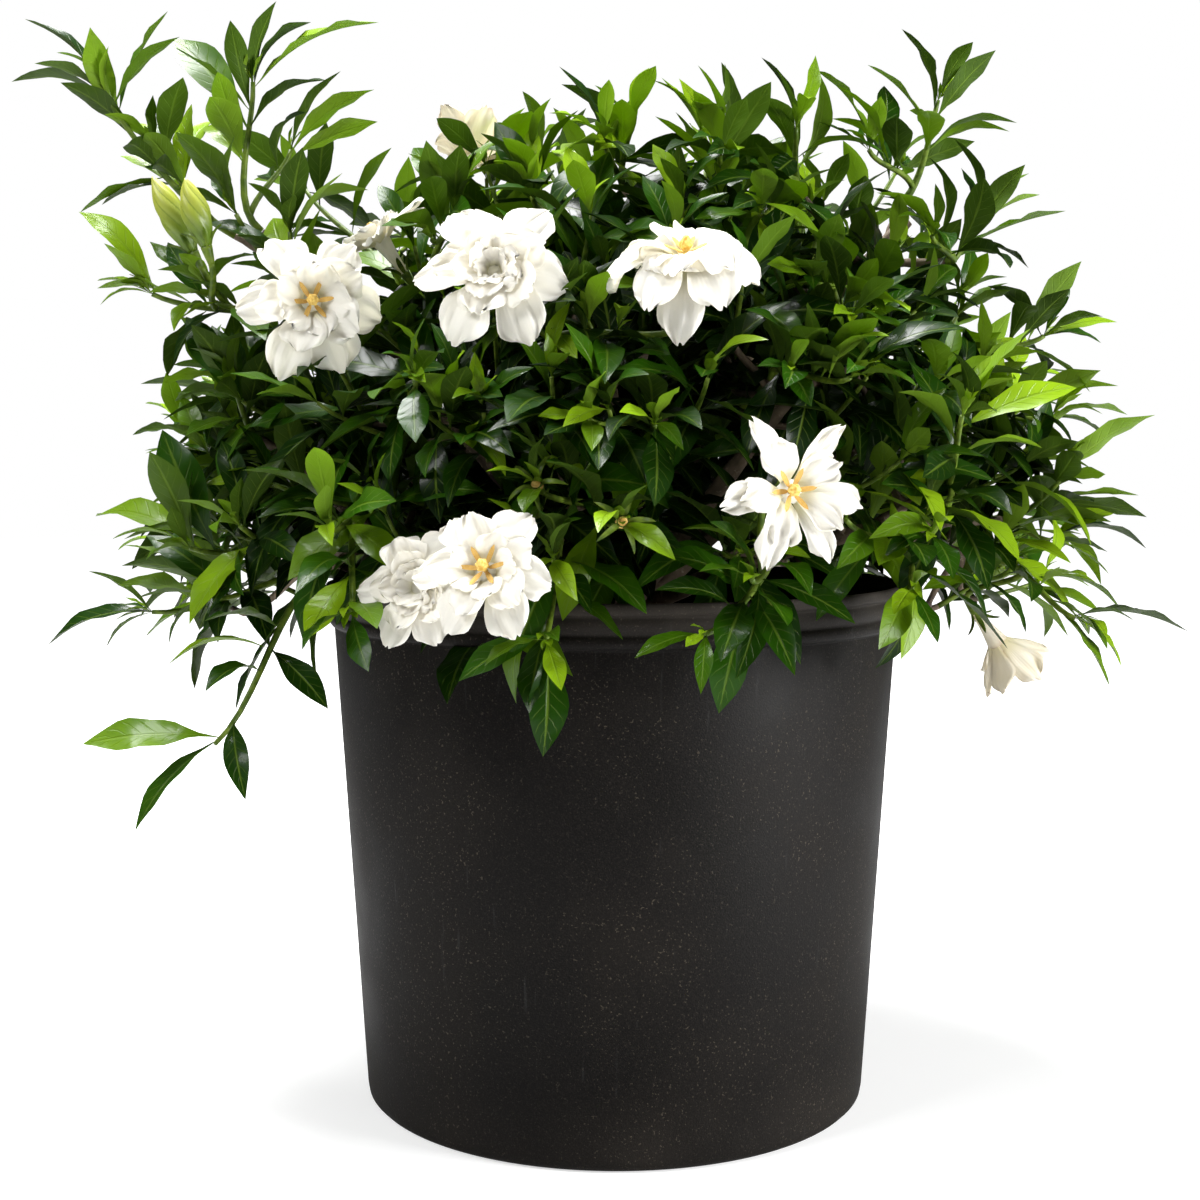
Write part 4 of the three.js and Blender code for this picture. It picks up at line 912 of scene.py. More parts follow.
def grey_bark():
    """Thin grey-brown bark with lengthwise cracks and pale flecks."""
    finish, tree = new_finish("Grey bark")
    fine = noise(tree, 420.0, 6.0)
    colour = mixed(fade(noise(tree, 70.0), 0.3, 0.7), (0.06, 0.04, 0.022), (0.17, 0.125, 0.08))
    colour = mixed(fade(fine, 0.6, 0.72), colour, (0.26, 0.21, 0.15))
    dress(tree, colour, fade(fine, 0.3, 0.7, 0.7, 0.9), fine, 0.7, 0.0008)
    return finish


def composted_bark():
    """Damp bark chips from near black to rust brown."""
    finish, tree = new_finish("Composted bark")
    fibres = noise(tree, 600.0, 6.0)
    colour = mixed(fade(noise(tree, 130.0), 0.4, 0.62), (0.018, 0.011, 0.007), (0.11, 0.055, 0.028))
    colour = mixed(fade(fibres, 0.62, 0.75), colour, (0.24, 0.16, 0.1))
    dress(tree, colour, fade(fibres, 0.3, 0.7, 0.65, 0.95), fibres, 0.8, 0.001)
    return finish


def nursery_plastic():
    """Black moulded pot plastic: fine mould texture, pale dust on the lip and the foot, scuffs."""
    finish, tree = new_finish("Nursery plastic", Specular_IOR_Level=0.1)
    height = add(tree, "ShaderNodeSeparateXYZ", own_places(tree), out=2)
    haze = noise(tree, 16.0)
    specks = fade(noise(tree, 900.0, 6.0), 0.61, 0.7)
    stretched = add(tree, "ShaderNodeMapping", own_places(tree), None, None, (1, 1, 0.06))
    scuffs = fade(noise(tree, 260.0, 3.0, stretched), 0.66, 0.76)
    lip = fade(height, POT_HEIGHT - POT_BAND - 0.001, POT_HEIGHT - 0.002, 0.0, 0.5)
    dust = times(plus(plus(lip, fade(height, 0.0, 0.04, 0.12, 0.0)), 0.04), haze)
    mottle = fade(noise(tree, 1500.0, 3.0), 0.45, 0.68)
    colour = mixed(mottle, (0.0012, 0.001, 0.0009), (0.0075, 0.0062, 0.0052))
    colour = mixed(fade(haze, 0.42, 0.68, 0.0, 0.2), colour, (0.014, 0.0115, 0.009))
    colour = mixed(dust, colour, (0.1, 0.085, 0.07))
    colour = mixed(times(specks, fade(haze, 0.3, 0.7, 0.05, 0.28)), colour, (0.2, 0.165, 0.12))
    colour = mixed(times(scuffs, 0.06), colour, (0.16, 0.16, 0.16))
    roughness = plus(fade(haze, 0.3, 0.7, 0.5, 0.62), times(dust, 0.6))
    dress(tree, colour, roughness, plus(noise(tree, 1400.0, 2.0), times(specks, 0.6)), 0.3, 0.0003)
    return finish


# Leaves and chips, which node trees set and strew


def new_tree(name, *sizes):
    """A geometry node tree and what comes into it, its sizes by name."""
    tree = bpy.data.node_groups.new(name, "GeometryNodeTree")
    kinds = {"Geometry": "Geometry", "Shapes": "Collection", "Finish": "Material", "Seed": "Int"}
    for key, kind in (kinds | dict.fromkeys(sizes, "Float")).items():
        tree.interface.new_socket(key, in_out="INPUT", socket_type="NodeSocket" + kind)
    tree.interface.new_socket("Geometry", in_out="OUTPUT", socket_type="NodeSocketGeometry")
    return tree, tree.nodes.new("NodeGroupInput").outputs


def set_shapes(tree, inputs, **where):
    """Ends a tree: sets its shapes on points, makes them plain mesh and gives them their finish."""
    shapes = add(tree, "GeometryNodeCollectionInfo", inputs["Shapes"], True, True)
    instances = add(tree, "GeometryNodeInstanceOnPoints", Instance=shapes, Pick_Instance=True, **where)
    plain = add(tree, "GeometryNodeRealizeInstances", instances)
    finished = add(tree, "GeometryNodeSetMaterial", plain, None, inputs["Finish"])
    feed(tree.nodes.new("NodeGroupOutput").inputs[0], finished)
    return tree


def leaf_setter():
    """Sets a leaf on every point by the point's own turn, length and shape, with a small flutter."""
    tree, inputs = new_tree("Set leaves", "Flutter")
    kinds = {"turn": "FLOAT_VECTOR", "length": "FLOAT", "shape": "INT"}
    turn, length, shape = (
        add(tree, "GeometryNodeInputNamedAttribute", name, data_type=kind) for name, kind in kinds.items())
    most = add(tree, "ShaderNodeVectorMath", (1, 1, 1), operation="SCALE", Scale=inputs["Flutter"])
    least = add(tree, "ShaderNodeVectorMath", most, operation="SCALE", Scale=-1.0)
    flutter = add(tree, "FunctionNodeRandomValue", least, most,
                  data_type="FLOAT_VECTOR", Seed=inputs["Seed"])
    still, swayed = (add(tree, "FunctionNodeEulerToRotation", angles) for angles in (turn, flutter))
    rotation = add(tree, "FunctionNodeRotateRotation", still, swayed, rotation_space="LOCAL")
    return set_shapes(
        tree, inputs, Points=inputs["Geometry"], Instance_Index=shape, Rotation=rotation, Scale=length)


def chip_strewer():
    """Strews chips over a surface, turned and sized at random."""
    tree, inputs = new_tree("Strew chips", "Spacing", "Chip size")
    seed = inputs["Seed"]
    points = add(
        tree, "GeometryNodeDistributePointsOnFaces", inputs["Geometry"], distribute_method="POISSON",
        Distance_Min=inputs["Spacing"], Density_Max=CHIP_DENSITY, Seed=seed)
    turn = add(tree, "FunctionNodeRandomValue", (-CHIP_TILT, -CHIP_TILT, 0.0),
               (CHIP_TILT, CHIP_TILT, 2 * pi), data_type="FLOAT_VECTOR", Seed=seed)
    least, most = CHIP_SIZES
    size = add(tree, "FunctionNodeRandomValue", data_type="FLOAT", out=1, Min=least, Max=most, Seed=seed)
    return set_shapes(tree, inputs, Points=points, Rotation=add(tree, "FunctionNodeEulerToRotation", turn),
                      Scale=times(size, inputs["Chip size"]))


def grown(name, mesh, tree, inputs):
    """The plain mesh that a node tree makes of a mesh."""
    seedbed = placed(name, mesh)
    growth = seedbed.modifiers.new("Growth", "NODES")
    growth.node_group = tree
    for item in tree.interface.items_tree:
        if item.in_out == "INPUT" and item.name in inputs:
            growth[item.identifier] = inputs[item.name]
    return settled(seedbed)


def leaf_profile(share):
    """Half the width of a leaf, as a share of its widest, from its stalk to its drawn-out tip."""
    if share < 0.07:
        return 0.09
    rise = (share - 0.07) / 0.93
    return max(0, sin(pi * rise**1.22)) ** 1.04 + 0.06 * (1 - rise) ** 2


def leaf_shapes():
    """The leaf shapes, each 1 long, with its stalk at the origin and its tip along +Y."""
    shapes = bpy.data.collections.new("leaf shapes")
    for number, (fold, arch, wave, twist, width) in enumerate(LEAF_SHAPES):

        def place(s, t):
            half = width / 2 * leaf_profile(s)
            turn = twist * (s - 0.3)
            ripple = wave * sin(17 * s + 2 * t) * t * t * sin(pi * s)
            rise = 4 * arch * s * (1 - s) + fold * abs(t) * half + ripple
            point = Vector((half * t * cos(turn), s, rise + half * t * sin(turn)))
            return point, Vector((-fold * t, 0, 1)).normalized()

        body = new_body()
        thin_body(body, place, LEAF_ROWS, LEAF_COLUMNS, LEAF_THICKNESS)
        body.verts.layers.float.remove(body.verts.layers.float["tone"])
        mesh = finish_body(body, f"leaf {number}", LEAF)
        shapes.objects.link(bpy.data.objects.new(mesh.name, mesh))
    return shapes


def chip_shapes():
    """Flat splintered chips of bark, each about 1 long."""
    shapes = bpy.data.collections.new("chip shapes")
    for number in range(CHIP_SHAPES):
        draw = draws(811 + 17 * number)
        body = new_body()
        sides, faces = (-CHIP_HALF_WIDTH, CHIP_HALF_WIDTH), (-CHIP_HALF_THICKNESS, CHIP_HALF_THICKNESS)
        for x, y, z in product(CHIP_STATIONS, sides, faces):
            body.verts.new((x + 0.12 * (draw() - 0.5), y * (0.6 + 0.8 * draw()), z * (0.5 + draw())))
        bmesh.ops.convex_hull(body, input=body.verts)
        bmesh.ops.recalc_face_normals(body, faces=body.faces)
        mesh = finish_body(body, f"chip {number}")
        mesh.shade_flat()
        shapes.objects.link(bpy.data.objects.new(mesh.name, mesh))
    return shapes


def leaf_mesh(name, leaves, seed):
    """The mesh of a list of leaves, each root, tip, lift and tone."""
    roots, tips, lifts, tones = zip(*leaves)
    spans = [tip - root for root, tip in zip(roots, tips)]
    eulers = []
    for along, lift in zip([span.normalized() for span in spans], lifts):
        eulers += Matrix((along.cross(lift), along, lift)).transposed().to_euler()
    points = bpy.data.meshes.new(name)
    points.from_pydata(roots, [], [])
    for key, kind, field, values in (
            ("turn", "FLOAT_VECTOR", "vector", eulers),
            ("length", "FLOAT", "value", [span.length for span in spans]),
            ("shape", "INT", "value", [(i * 3 + seed) % len(LEAF_SHAPES) for i in range(len(leaves))]),
            ("tone", "FLOAT", "value", tones)):
        points.attributes.new(key, kind, "POINT").data.foreach_set(field, values)
    mesh = grown(name, points, LEAF_TREE, {
        "Shapes": LEAVES, "Finish": LEAF, "Flutter": LEAF_FLUTTER, "Seed": seed})
    for key in ("turn", "length", "shape"):
        if key in mesh.attributes:
            mesh.attributes.remove(mesh.attributes[key])
    return mesh


# Pot, mix and wood


def make_pot():
    """The pot as one turned wall with a rounded lip, a step under the band and drain holes."""
    outline = [(radius + out * MM, height + rise * MM)
               for radius, height, steps in POT_OUTLINE for out, rise in steps]
    wall, drills = new_body(), new_body()
    turned(wall, [(0, 0), *outline, (0, POT_FLOOR)], POT_SIDES)
    for turn in turns(DRAIN_HOLES, 0.5):
        middle = Vector((DRAIN_RING_RADIUS * cos(turn), DRAIN_RING_RADIUS * sin(turn), 0))
        line = straight(middle, UP, *DRILL_HEIGHTS)
        tube(drills, line, 1, 24, lambda share, turn: DRAIN_RADIUS)
    pot = placed("pot wall", finish_body(wall, "pot wall", PLASTIC))
    drill = placed("drills", finish_body(drills, "drills", PLASTIC))
    cut = pot.modifiers.new("Drain holes", "BOOLEAN")
    cut.operation = "DIFFERENCE"
    cut.object = drill
    mesh = settled(pot)
    bpy.data.objects.remove(drill)
    return mesh


def mix_height(x, y):
    """The height of the bark mix at a place: level, heaped at the crown, and uneven."""
    share = min(1, hypot(x, y) / MIX_HEAP_RADIUS)
    wave = sin(x * 130 + 1) * cos(y * 170 - 2) + sin((x + 2 * y) * 70)
    return MIX_LEVEL + MIX_CROWN * (1 - share) ** 2 + MIX_WAVE * wave * (1 - share)


def chip_ground(radius):
    """The surface that the chips lie on."""
    corners = []
    for i, turn in product(range(1, MIX_RINGS + 1), turns(MIX_SIDES)):
        x, y = radius * i / MIX_RINGS * cos(turn), radius * i / MIX_RINGS * sin(turn)
        corners.append((x, y, mix_height(x, y)))
    faces = []
    for ring, j in product(range(MIX_RINGS - 1), range(MIX_SIDES)):
        a, b = ring * MIX_SIDES + j, ring * MIX_SIDES + (j + 1) % MIX_SIDES
        faces.append((a, a + MIX_SIDES, b + MIX_SIDES, b))
    ground = bpy.data.meshes.new("ground")
    ground.from_pydata(corners, [], faces)
    return ground


def make_mix():
    """The bark mix: a body that fills the pot, strewn with chips."""
    wall = POT_BASE_RADIUS - POT_WALL - 2 * SEAT_GAP
    rim = wall + (POT_WALL_TOP_RADIUS - POT_BASE_RADIUS) / (POT_HEIGHT - POT_BAND) * MIX_LEVEL
    floor = POT_FLOOR + SEAT_GAP
    body = new_body()
    turned(body, [(0, floor), (wall - MIX_BEVEL, floor), (wall, MIX_BEVEL_TOP),
                  *[(rim * (1 - step / MIX_STEPS), MIX_LEVEL) for step in range(MIX_STEPS)],
                  (0, MIX_LEVEL)], MIX_SIDES)
    for corner in body.verts:
        if corner.co.z > MIX_LEVEL - 1e-5:
            corner.co.z = mix_height(corner.co.x, corner.co.y)
    strewn = grown("chips", chip_ground(rim * CHIP_REACH), chip_strewer(), {
        "Shapes": CHIPS, "Finish": MIX, "Spacing": CHIP_SPACING, "Chip size": CHIP_SIZE, "Seed": 7})
    return joined("bark mix", finish_body(body, "filling", MIX), strewn)


LIMB_CURVES = [through([Vector(point) * MM for point in limb]) for limb in LIMBS]


def way_up(foot, base, slack=0.0):
    """How far it is from a foot up to a base. Where the foot is the higher, that counts twice."""
    return (foot - base).length + max(0, foot.z - base.z + slack)


def twig_to(base):
    """The twig from the nearest limb to a spray's base. It leaves a limb below where it ends."""
    feet = [(limb(step / 10), limb, step / 10) for limb in LIMB_CURVES for step in range(3, 10)]
    foot, limb, share = min(feet, key=lambda foot: way_up(foot[0], base, TWIG_SLACK))
    reach = way_up(foot, base, TWIG_SLACK)
    outward = Vector((base.x, base.y, 0)).normalized()
    ending = ((base - foot).normalized() + outward * TWIG_SPREAD).normalized()
    first = foot.lerp(base, STEM_EASE) + heading(limb, share) * reach * TWIG_BOW
    return bezier(foot, first, base - ending * reach * STEM_EASE, base)


def make_wood(bases):
    """The crown, the limbs and a twig to each spray."""
    body = new_body()
    tube(body, lambda share: UP * blend(CROWN_FOOT, CROWN_TOP, share), 8, 24,
         lambda share, turn: CROWN_RADIUS * (1 - 0.24 * share)
         * (1 + 0.07 * sin(5 * turn + 3 * share) + 0.04 * sin(11 * turn)))
    for n, limb in enumerate(LIMB_CURVES):
        tube(body, limb, 22, 12, lambda share, turn: blend(*LIMB_RADII, share)
             * (1 + 0.07 * sin(40 * share + n) + 0.05 * sin(3 * turn + 9 * share)))
    for n, base in enumerate(bases):
        tube(body, twig_to(base), 10, 8, lambda share, turn: blend(*TWIG_RADII, share)
             * (1 + 0.09 * sin(24 * share + n)))
    return finish_body(body, "wood", BARK)


# Sprays, as the frame has them


def landmarks(node):
    corners = frame["nodes"][node].data.vertices
    tree = KDTree(len(corners))
    for i, corner in enumerate(corners):
        tree.insert(corner.co, i)
    tree.balance()
    return tree


def middle_ring(curve, radius):
    """The corners of the ring halfway up one of the frame's stems."""
    along = heading(curve, 0.5)
    side = squared(square(heading(curve, 0))[0], along)
    return [curve(0.5) + spoke(side, along.cross(side), turn) * radius for turn in turns(3)]


def grow(spray, end, ending, end_radius):
    """A green stem from the spray's base or from its first stem to an end, swayed as in the frame."""
    stems, along = spray["stems"], spray["along"]
    start = on_stem(stems[0], FORK_SHARE * len(stems)) if stems else spray["base"] + along * SEAT_GAP
    reach = (end - start).length
    leaving = (along * 0.5 + (end - start) / reach).normalized() if stems else along
    radius = blend(FRAME_FORK_RADIUS if stems else FRAME_SHOOT_RADIUS, end_radius, 0.5)
    draw = draws(97 * (10 * spray["number"] + len(stems) + 1))
    curves = []
    for step in range(int(SWAY_LIMIT / SWAY_STEP)):
        second = end - ending * reach * STEM_EASE + nudge(draw) * (step * SWAY_STEP)
        curves.append(bezier(start, start + leaving * reach * STEM_EASE, second, end))

    def miss(curve):
        return sum(sorted(spray["landmarks"].find(corner)[2] for corner in middle_ring(curve, radius))[:2])

    stems.append(min(curves, key=miss))
    return stems[-1]


def from_first(stems, number):
    """The curve that a stem is drawn on. It leaves the drawn first stem, which rounds the frame's."""
    curve = stems[number]
    shift = stems[0](FORK_SHARE * number) - curve(0) if number else curve(0) * 0
    return lambda t: curve(t) + shift * (1 - t) ** 3


def leaf_share(curve, tip, taken):
    """How far up a shoot the leaf with that tip grows in the frame."""
    best = None
    for step in range(6, 20):
        root = on_stem(curve, step / 20)
        near = sum((other - root).length < ROOT_SPACING for other in taken)
        miss = abs((root - tip).length - LEAF_LENGTH) + ROOT_SPACING * near
        if best is None or miss < best[0] - 1e-9:
            best = (miss, step / 20)
    taken.append(on_stem(curve, best[1]))
    return best[1]


def ruled_tips(curve, count, draw):
    """The tips of leaves set in crossed pairs along a shoot."""
    tips = []
    for k in range(count):
        share = 0.4 + 0.6 * (k // 2) / ((count - 1) // 2)
        forward = heading(curve, share)
        turn = pi * (k % 2) + pi / 2 * (k // 2) + 0.7 * (draw() - 0.5)
        lean = radians(48 + 24 * draw())
        length = LEAF_LENGTH * (0.85 + 0.3 * draw())
        tips.append(curve(share) + spoke(forward, spoke(*square(forward), turn), lean) * length)
    return tips


BENDS = [(radians(turn), radians(lift), share) for share in (1, 0.86, 0.74) for turn, lift in (
    (0, 0), (8, 0), (-8, 0), (0, 8), (0, -8), (14, 8), (-14, 8), (14, -8), (-14, -8), (22, 0), (-22, 0),
    (0, 18), (0, -18), (26, 14), (-26, 14), (32, 0), (-32, 0))]


def bent(root, tip, bend):
    """A leaf's tip after a small turn, lift and shortening."""
    turn, lift, share = bend
    span = tip - root
    side = square(span.normalized())[0]
    span.rotate(Quaternion(side, -lift))
    span.rotate(Quaternion(UP, turn))
    return root + span * share


def leaf_lift(root, tip, roll):
    """The way a leaf's upper face looks: up, and out from the bush."""
    along = (tip - root).normalized()
    lift = squared(Vector((root.x, root.y, 0)).normalized() * 0.45 + UP, along)
    lift.rotate(Quaternion(along, roll))
    return lift


def leaf_tone_with_painted_shade(tip, draw):
    """A leaf's tone: dark within the bush as painted shade, brighter at its outside as painted light,
    and brightest where the view shows young growth."""
    across, down = in_view(tip)
    if min(hypot(across - x, down - y) for x, y in YOUNG_PLACES) < YOUNG_REACH:
        return blend(YOUNG_TONE, 1, draw())
    # Painted light towards the bush's outside; within it the leaves stay dark as painted shade.
    reach = Vector((a / b for a, b in zip(tip - FILL_MIDDLE, FILL_REACH))).length
    outer = min(1, max(0, (reach - OUTER_FROM) / OUTER_DEPTH))
    return OUTER_PAINTED_LIGHT * outer + blend(*TONES_VARY, outer) * draw() ** TONE_RARITY


def frame_leaves(spray, stalk_ends):
    """Grows a spray's stems and finds each of its leaves where the frame has it."""
    leaves = []
    for shoot in spray["shoots"]:
        ending = ((shoot["tip"] - spray["base"]).normalized() + UP * SHOOT_RISE).normalized()
        shoot["curve"] = grow(spray, shoot["tip"], ending, FRAME_SHOOT_END)
    for end, faces in stalk_ends:
        grow(spray, end, faces, FRAME_STALK_END)
    for i, shoot in enumerate(spray["shoots"]):
        draw = draws(5003 + 31 * i + 211 * spray["number"])
        taken = []
        drawn = from_first(spray["stems"], i)
        for tip in shoot["leaves"] or ruled_tips(shoot["curve"], BACK_LEAVES_PER_SHOOT, draw):
            share = leaf_share(shoot["curve"], tip, taken)
            places = [bent(on_stem(shoot["curve"], share), tip, bend) for bend in BENDS]
            found = [place for place in places if spray["landmarks"].find(place)[2] < MATCH]
            roll = radians(LEAF_ROLL * (draw() - 0.5))
            for place in found[:1]:
                tone = leaf_tone_with_painted_shade(place, draws(int(1e6 * abs(place.x)) + 3))
                leaves.append((drawn(share), place, leaf_lift(drawn(share), place, roll), tone))
    return leaves


def covers_a_bloom(place):
    """Whether a place lies close in front of a bloom or a bud, as it faces or as the view sees it."""
    near, far = CLEAR_DEPTHS
    for middle, radius, ways in OPEN_PLACES:
        for way in ways:
            ahead = (place - middle).dot(way)
            if near < ahead < far and (place - middle - way * ahead).length < radius:
                return True
    return False


def within_reach(place):
    """Whether a place lies in the solids' own box and above the floor of the foliage."""
    low, high = solid_box
    return all(low[i] < place[i] < high[i] for i in range(3)) and place.z > FILL_FLOOR


def whorls(curve, first, count, draw, size):
    """Leaves in threes along a shoot, short and upright at its tip, where a pale sprout opens. Each
    is root, tip, lift, tone."""
    leaves = []
    for k in range(count):
        share = blend(first, 1, k / max(1, count - 1))
        root, forward = curve(share), heading(curve, share)
        last = k == count - 1
        for turn in turns(3):
            out = spoke(*square(forward), turn + pi / 3 * k + 0.5 * (draw() - 0.5))
            lean = radians((TIP_LEAN if last else WHORL_LEAN) + LEAN_VARIES * (draw() - 0.5))
            length = size * (TIP_LENGTH if last else 1) * (0.8 + 0.4 * draw())
            tip = root + (spoke(forward, out, lean) - UP * WHORL_DROOP).normalized() * length
            roll = radians(LEAF_ROLL * (draw() - 0.5))
            tone = leaf_tone_with_painted_shade(tip, draw) + (TIP_TONE if last else 0)
            if not covers_a_bloom(tip) and not covers_a_bloom(root.lerp(tip, 0.5)) and within_reach(tip):
                leaves.append((root, tip, leaf_lift(root, tip, roll), min(1, tone)))
    root, forward = curve(1), heading(curve, 1)
    for n in range(SPROUT_LEAVES):
        out = spoke(*square(forward), SPROUT_TURN * n)
        way = (forward + out * (0.15 + 0.3 * draw())).normalized()
        tip = root + way * SPROUT_LENGTH * (0.7 + 0.9 * draw())
        if within_reach(tip):
            leaves.append((root, tip, leaf_lift(root, tip, 0), 0.7 + 0.3 * draw()))
    return leaves


# Calyces, blooms and buds


def add_calyx(body, foot, faces, lean):
    """A green cup with long narrow sepals that lean out."""
    tube(body, straight(foot, faces, *CALYX_HEIGHTS), 6, 12,
         lambda share, turn: blend(STALK_RADIUS, CALYX_RADIUS, share) * (1 + 0.06 * cos(5 * turn)))
    for out in [spoke(*square(faces), turn) for turn in turns(5)]:

        def place(s, t):
            angle = radians(lean) * (0.35 + 0.95 * s)
            way, up = spoke(faces, out, angle), faces * sin(angle) - out * cos(angle)
            root = foot + faces * (CALYX_HEIGHT - 0.001) + out * (CALYX_RADIUS * 0.75)
            half = SEPAL_WIDTH / 2 * max(0, sin(pi * (0.12 + 0.88 * s))) ** 0.7
            point = root + way * SEPAL_LENGTH * s + out.cross(faces) * half * t
            return point + up * abs(t) * half * 0.5, up

        thin_body(body, place, 7, 2, SEPAL_THICKNESS)


def petal_profile(share):
    """Half the width of a petal, as a share of its widest: narrow at its foot, blunt at its end."""
    if share < 0.66:
        rise = share / 0.66
        return 0.2 + 0.8 * rise * rise * (3 - 2 * rise)
    return sqrt(max(0.0, 1 - ((share - 0.66) / 0.37) ** 2))


def add_petal(body, bloom, turn, length, width, leaves, ends):
    """One petal: it leaves the mouth at one angle from the flower's axis and curves to another,
    with a cupped blade, a wavy rim and a rounded end."""
    faces, reach, draw = bloom["faces"], bloom["reach"], bloom["looks"]
    outward = spoke(*square(faces), turn)
    across = outward.cross(faces)
    length = reach * length * (0.92 + 0.16 * draw())
    width = reach * width * bloom.get("spread", PETAL_SPREAD) * (0.88 + 0.24 * draw())
    phase, second_phase = 2 * pi * draw(), 2 * pi * draw()
    rough = bloom.get("rough", 1)
    ruffle = PETAL_RUFFLE * (0.5 + draw()) * rough
    lean = radians(14 * (draw() - 0.5))
    curl = radians(34 * (draw() - 0.4)) * rough
    twist = PETAL_TWIST + 0.35 * (draw() - 0.5) * rough
    spine = [bloom["mouth"] - faces * PETAL_SET_IN + outward * PETAL_SET_IN]
    ways = []
    for step in range(PETAL_STEPS):
        share = (step + 0.5) / PETAL_STEPS
        angle = radians(blend(leaves, ends, share)) + lean * share + curl * share**3
        way = spoke(faces, outward, angle) - UP * bloom.get("fall", PETAL_FALL) * share**2
        ways.append(way.normalized())
        spine.append(spine[-1] + ways[-1] * (length / PETAL_STEPS))

    def place(s, t):
        notch = PETAL_NOTCH * rough * (sin(6 * t + phase) + 0.5 * sin(13 * t + second_phase))
        back = s * (1 - s * s * (0.1 * t * t + max(0, notch))) * PETAL_STEPS
        i = min(PETAL_STEPS - 1, int(back))
        inner = across.cross(ways[i]).normalized()
        half = width / 2 * petal_profile(s) * (1 + PETAL_NOTCH * rough * sin(13 * s + phase + t))
        wave = sin(9 * t + phase) + 0.7 * sin(8 * s + 4 * t + second_phase) + 0.35 * sin(17 * t - 6 * s)
        cup = PETAL_CUP * (1 - 1.5 * s * s) * t * t
        rise = half * (cup - twist * t + ruffle * wave * s * s * (0.35 + 0.65 * abs(t)))
        return spine[i].lerp(spine[i + 1], back - i) + across * half * t + inner * rise, inner

    thin_body(body, place, PETAL_ROWS, PETAL_COLUMNS, PETAL_THICKNESS, tone=bloom["age"])


def make_petals(bloom):
    """The white part of a bloom: its tube, the frame's layers of petals and the finer ones."""
    body = new_body()
    tube(body, between(bloom["foot"], bloom["mouth"]), 8, 16, tone=bloom["age"],
         radius=lambda share, turn: blend(*TUBE_RADII, share**1.6) * (1 + 0.05 * cos(6 * turn)))
    layers = PETAL_LAYERS[bloom["form"]] + FINE_LAYERS[bloom.get("fine", bloom["form"])]
    for depth, (count, length, width, leaves, ends, *start) in enumerate(layers):
        for turn in turns(count, start[0] if start else 0.5 * (depth % 2)):
            add_petal(body, bloom, turn + 0.16 * (bloom["draw"]() - 0.5), length, width, leaves, ends)
    return finish_body(body, "petals", PETAL)


def make_heart(bloom):
    """Six anthers in a star round a ridged club."""
    body = new_body()
    faces, mouth = bloom["faces"], bloom["mouth"]
    tube(body, straight(mouth, faces, *CLUB_HEIGHTS), 12, 18, lambda share, turn: (
        CLUB_RADIUS + CLUB_SWELL * sin(pi * max(0, share - 0.25) / 0.8) ** 2) * (1 + 0.12 * cos(6 * turn)))
    for out in [spoke(*square(faces), turn + 0.1) for turn in turns(6)]:

        def place(s, t):
            half = ANTHER_WIDTH / 2 * (0.35 + sin(pi * s) ** 0.6) if s < 1 else 0
            root = mouth + faces * ANTHER_RISE + out * ANTHER_OUT
            way = out + faces * ANTHER_SLOPE
            point = root + way * ANTHER_REACH * 0.9 * s + out.cross(faces) * half * t
            return point, (faces - out * 0.35).normalized()

        thin_body(body, place, 6, 2, ANTHER_THICKNESS, tone=ANTHER_TONE)
    return finish_body(body, "heart", HEART)


def make_bud(foot, point):
    """A slim bud, its folded petals in a spiral."""

    def radius(share, turn):
        swell = sin(pi * min(1, 0.1 + 0.9 * share**1.1)) ** 0.8
        ridge = abs(sin(BUD_RIDGES / 2 * (turn + BUD_TWIST * share)))
        return BUD_RADIUS * max(0.02, swell) * (1 - BUD_GROOVE + BUD_GROOVE * ridge)

    body = new_body()
    tube(body, between(foot, point), 28, 36, radius, tone=BUD_TONE)
    return finish_body(body, "bud", BUD)


# The whole plant


def placed_blooms():
    """Each bloom with its mouth, foot and axis in metres."""
    blooms = {}
    for i, (name, (at, faces, reach, form, on, looks)) in enumerate(BLOOMS.items()):
        faces, reach = Vector(faces).normalized(), reach * MM
        mouth = seen(at) - faces * reach * MOUTH_DEPTH
        blooms[name] = dict(
            faces=faces, reach=reach, mouth=mouth, foot=mouth - faces * TUBE_LENGTH, form=form, on=on,
            draw=draws(101 + 7 * i), looks=draws(701 + 11 * i), **looks)
    return blooms


def placed_sprays():
    """Each spray in metres, with its number and the corners of its node in the frame."""
    sprays = {}
    for name, (base, *shoots) in SEEN_SPRAYS.items():
        shoots = [{"tip": seen(tip), "leaves": [seen(leaf) for leaf in leaves]} for tip, *leaves in shoots]
        sprays[name] = {"base": seen(base), "shoots": shoots}
    for name, places in BACK_SPRAYS.items():
        base, *tips = [Vector(place) * MM for place in places]
        sprays[name] = {"base": base, "shoots": [{"tip": tip, "leaves": []} for tip in tips]}
    for number, (name, spray) in enumerate(sprays.items()):
        along = heading(twig_to(spray["base"]), 1)
        spray.update(number=number, along=along, stems=[], landmarks=landmarks(f"spray_{name}"))
    return sprays


def stalk_of(foot, faces):
    """Where the stalk of a flower or bud ends: under its calyx."""
    return foot - faces * (CALYX_HEIGHT + SEAT_GAP), faces


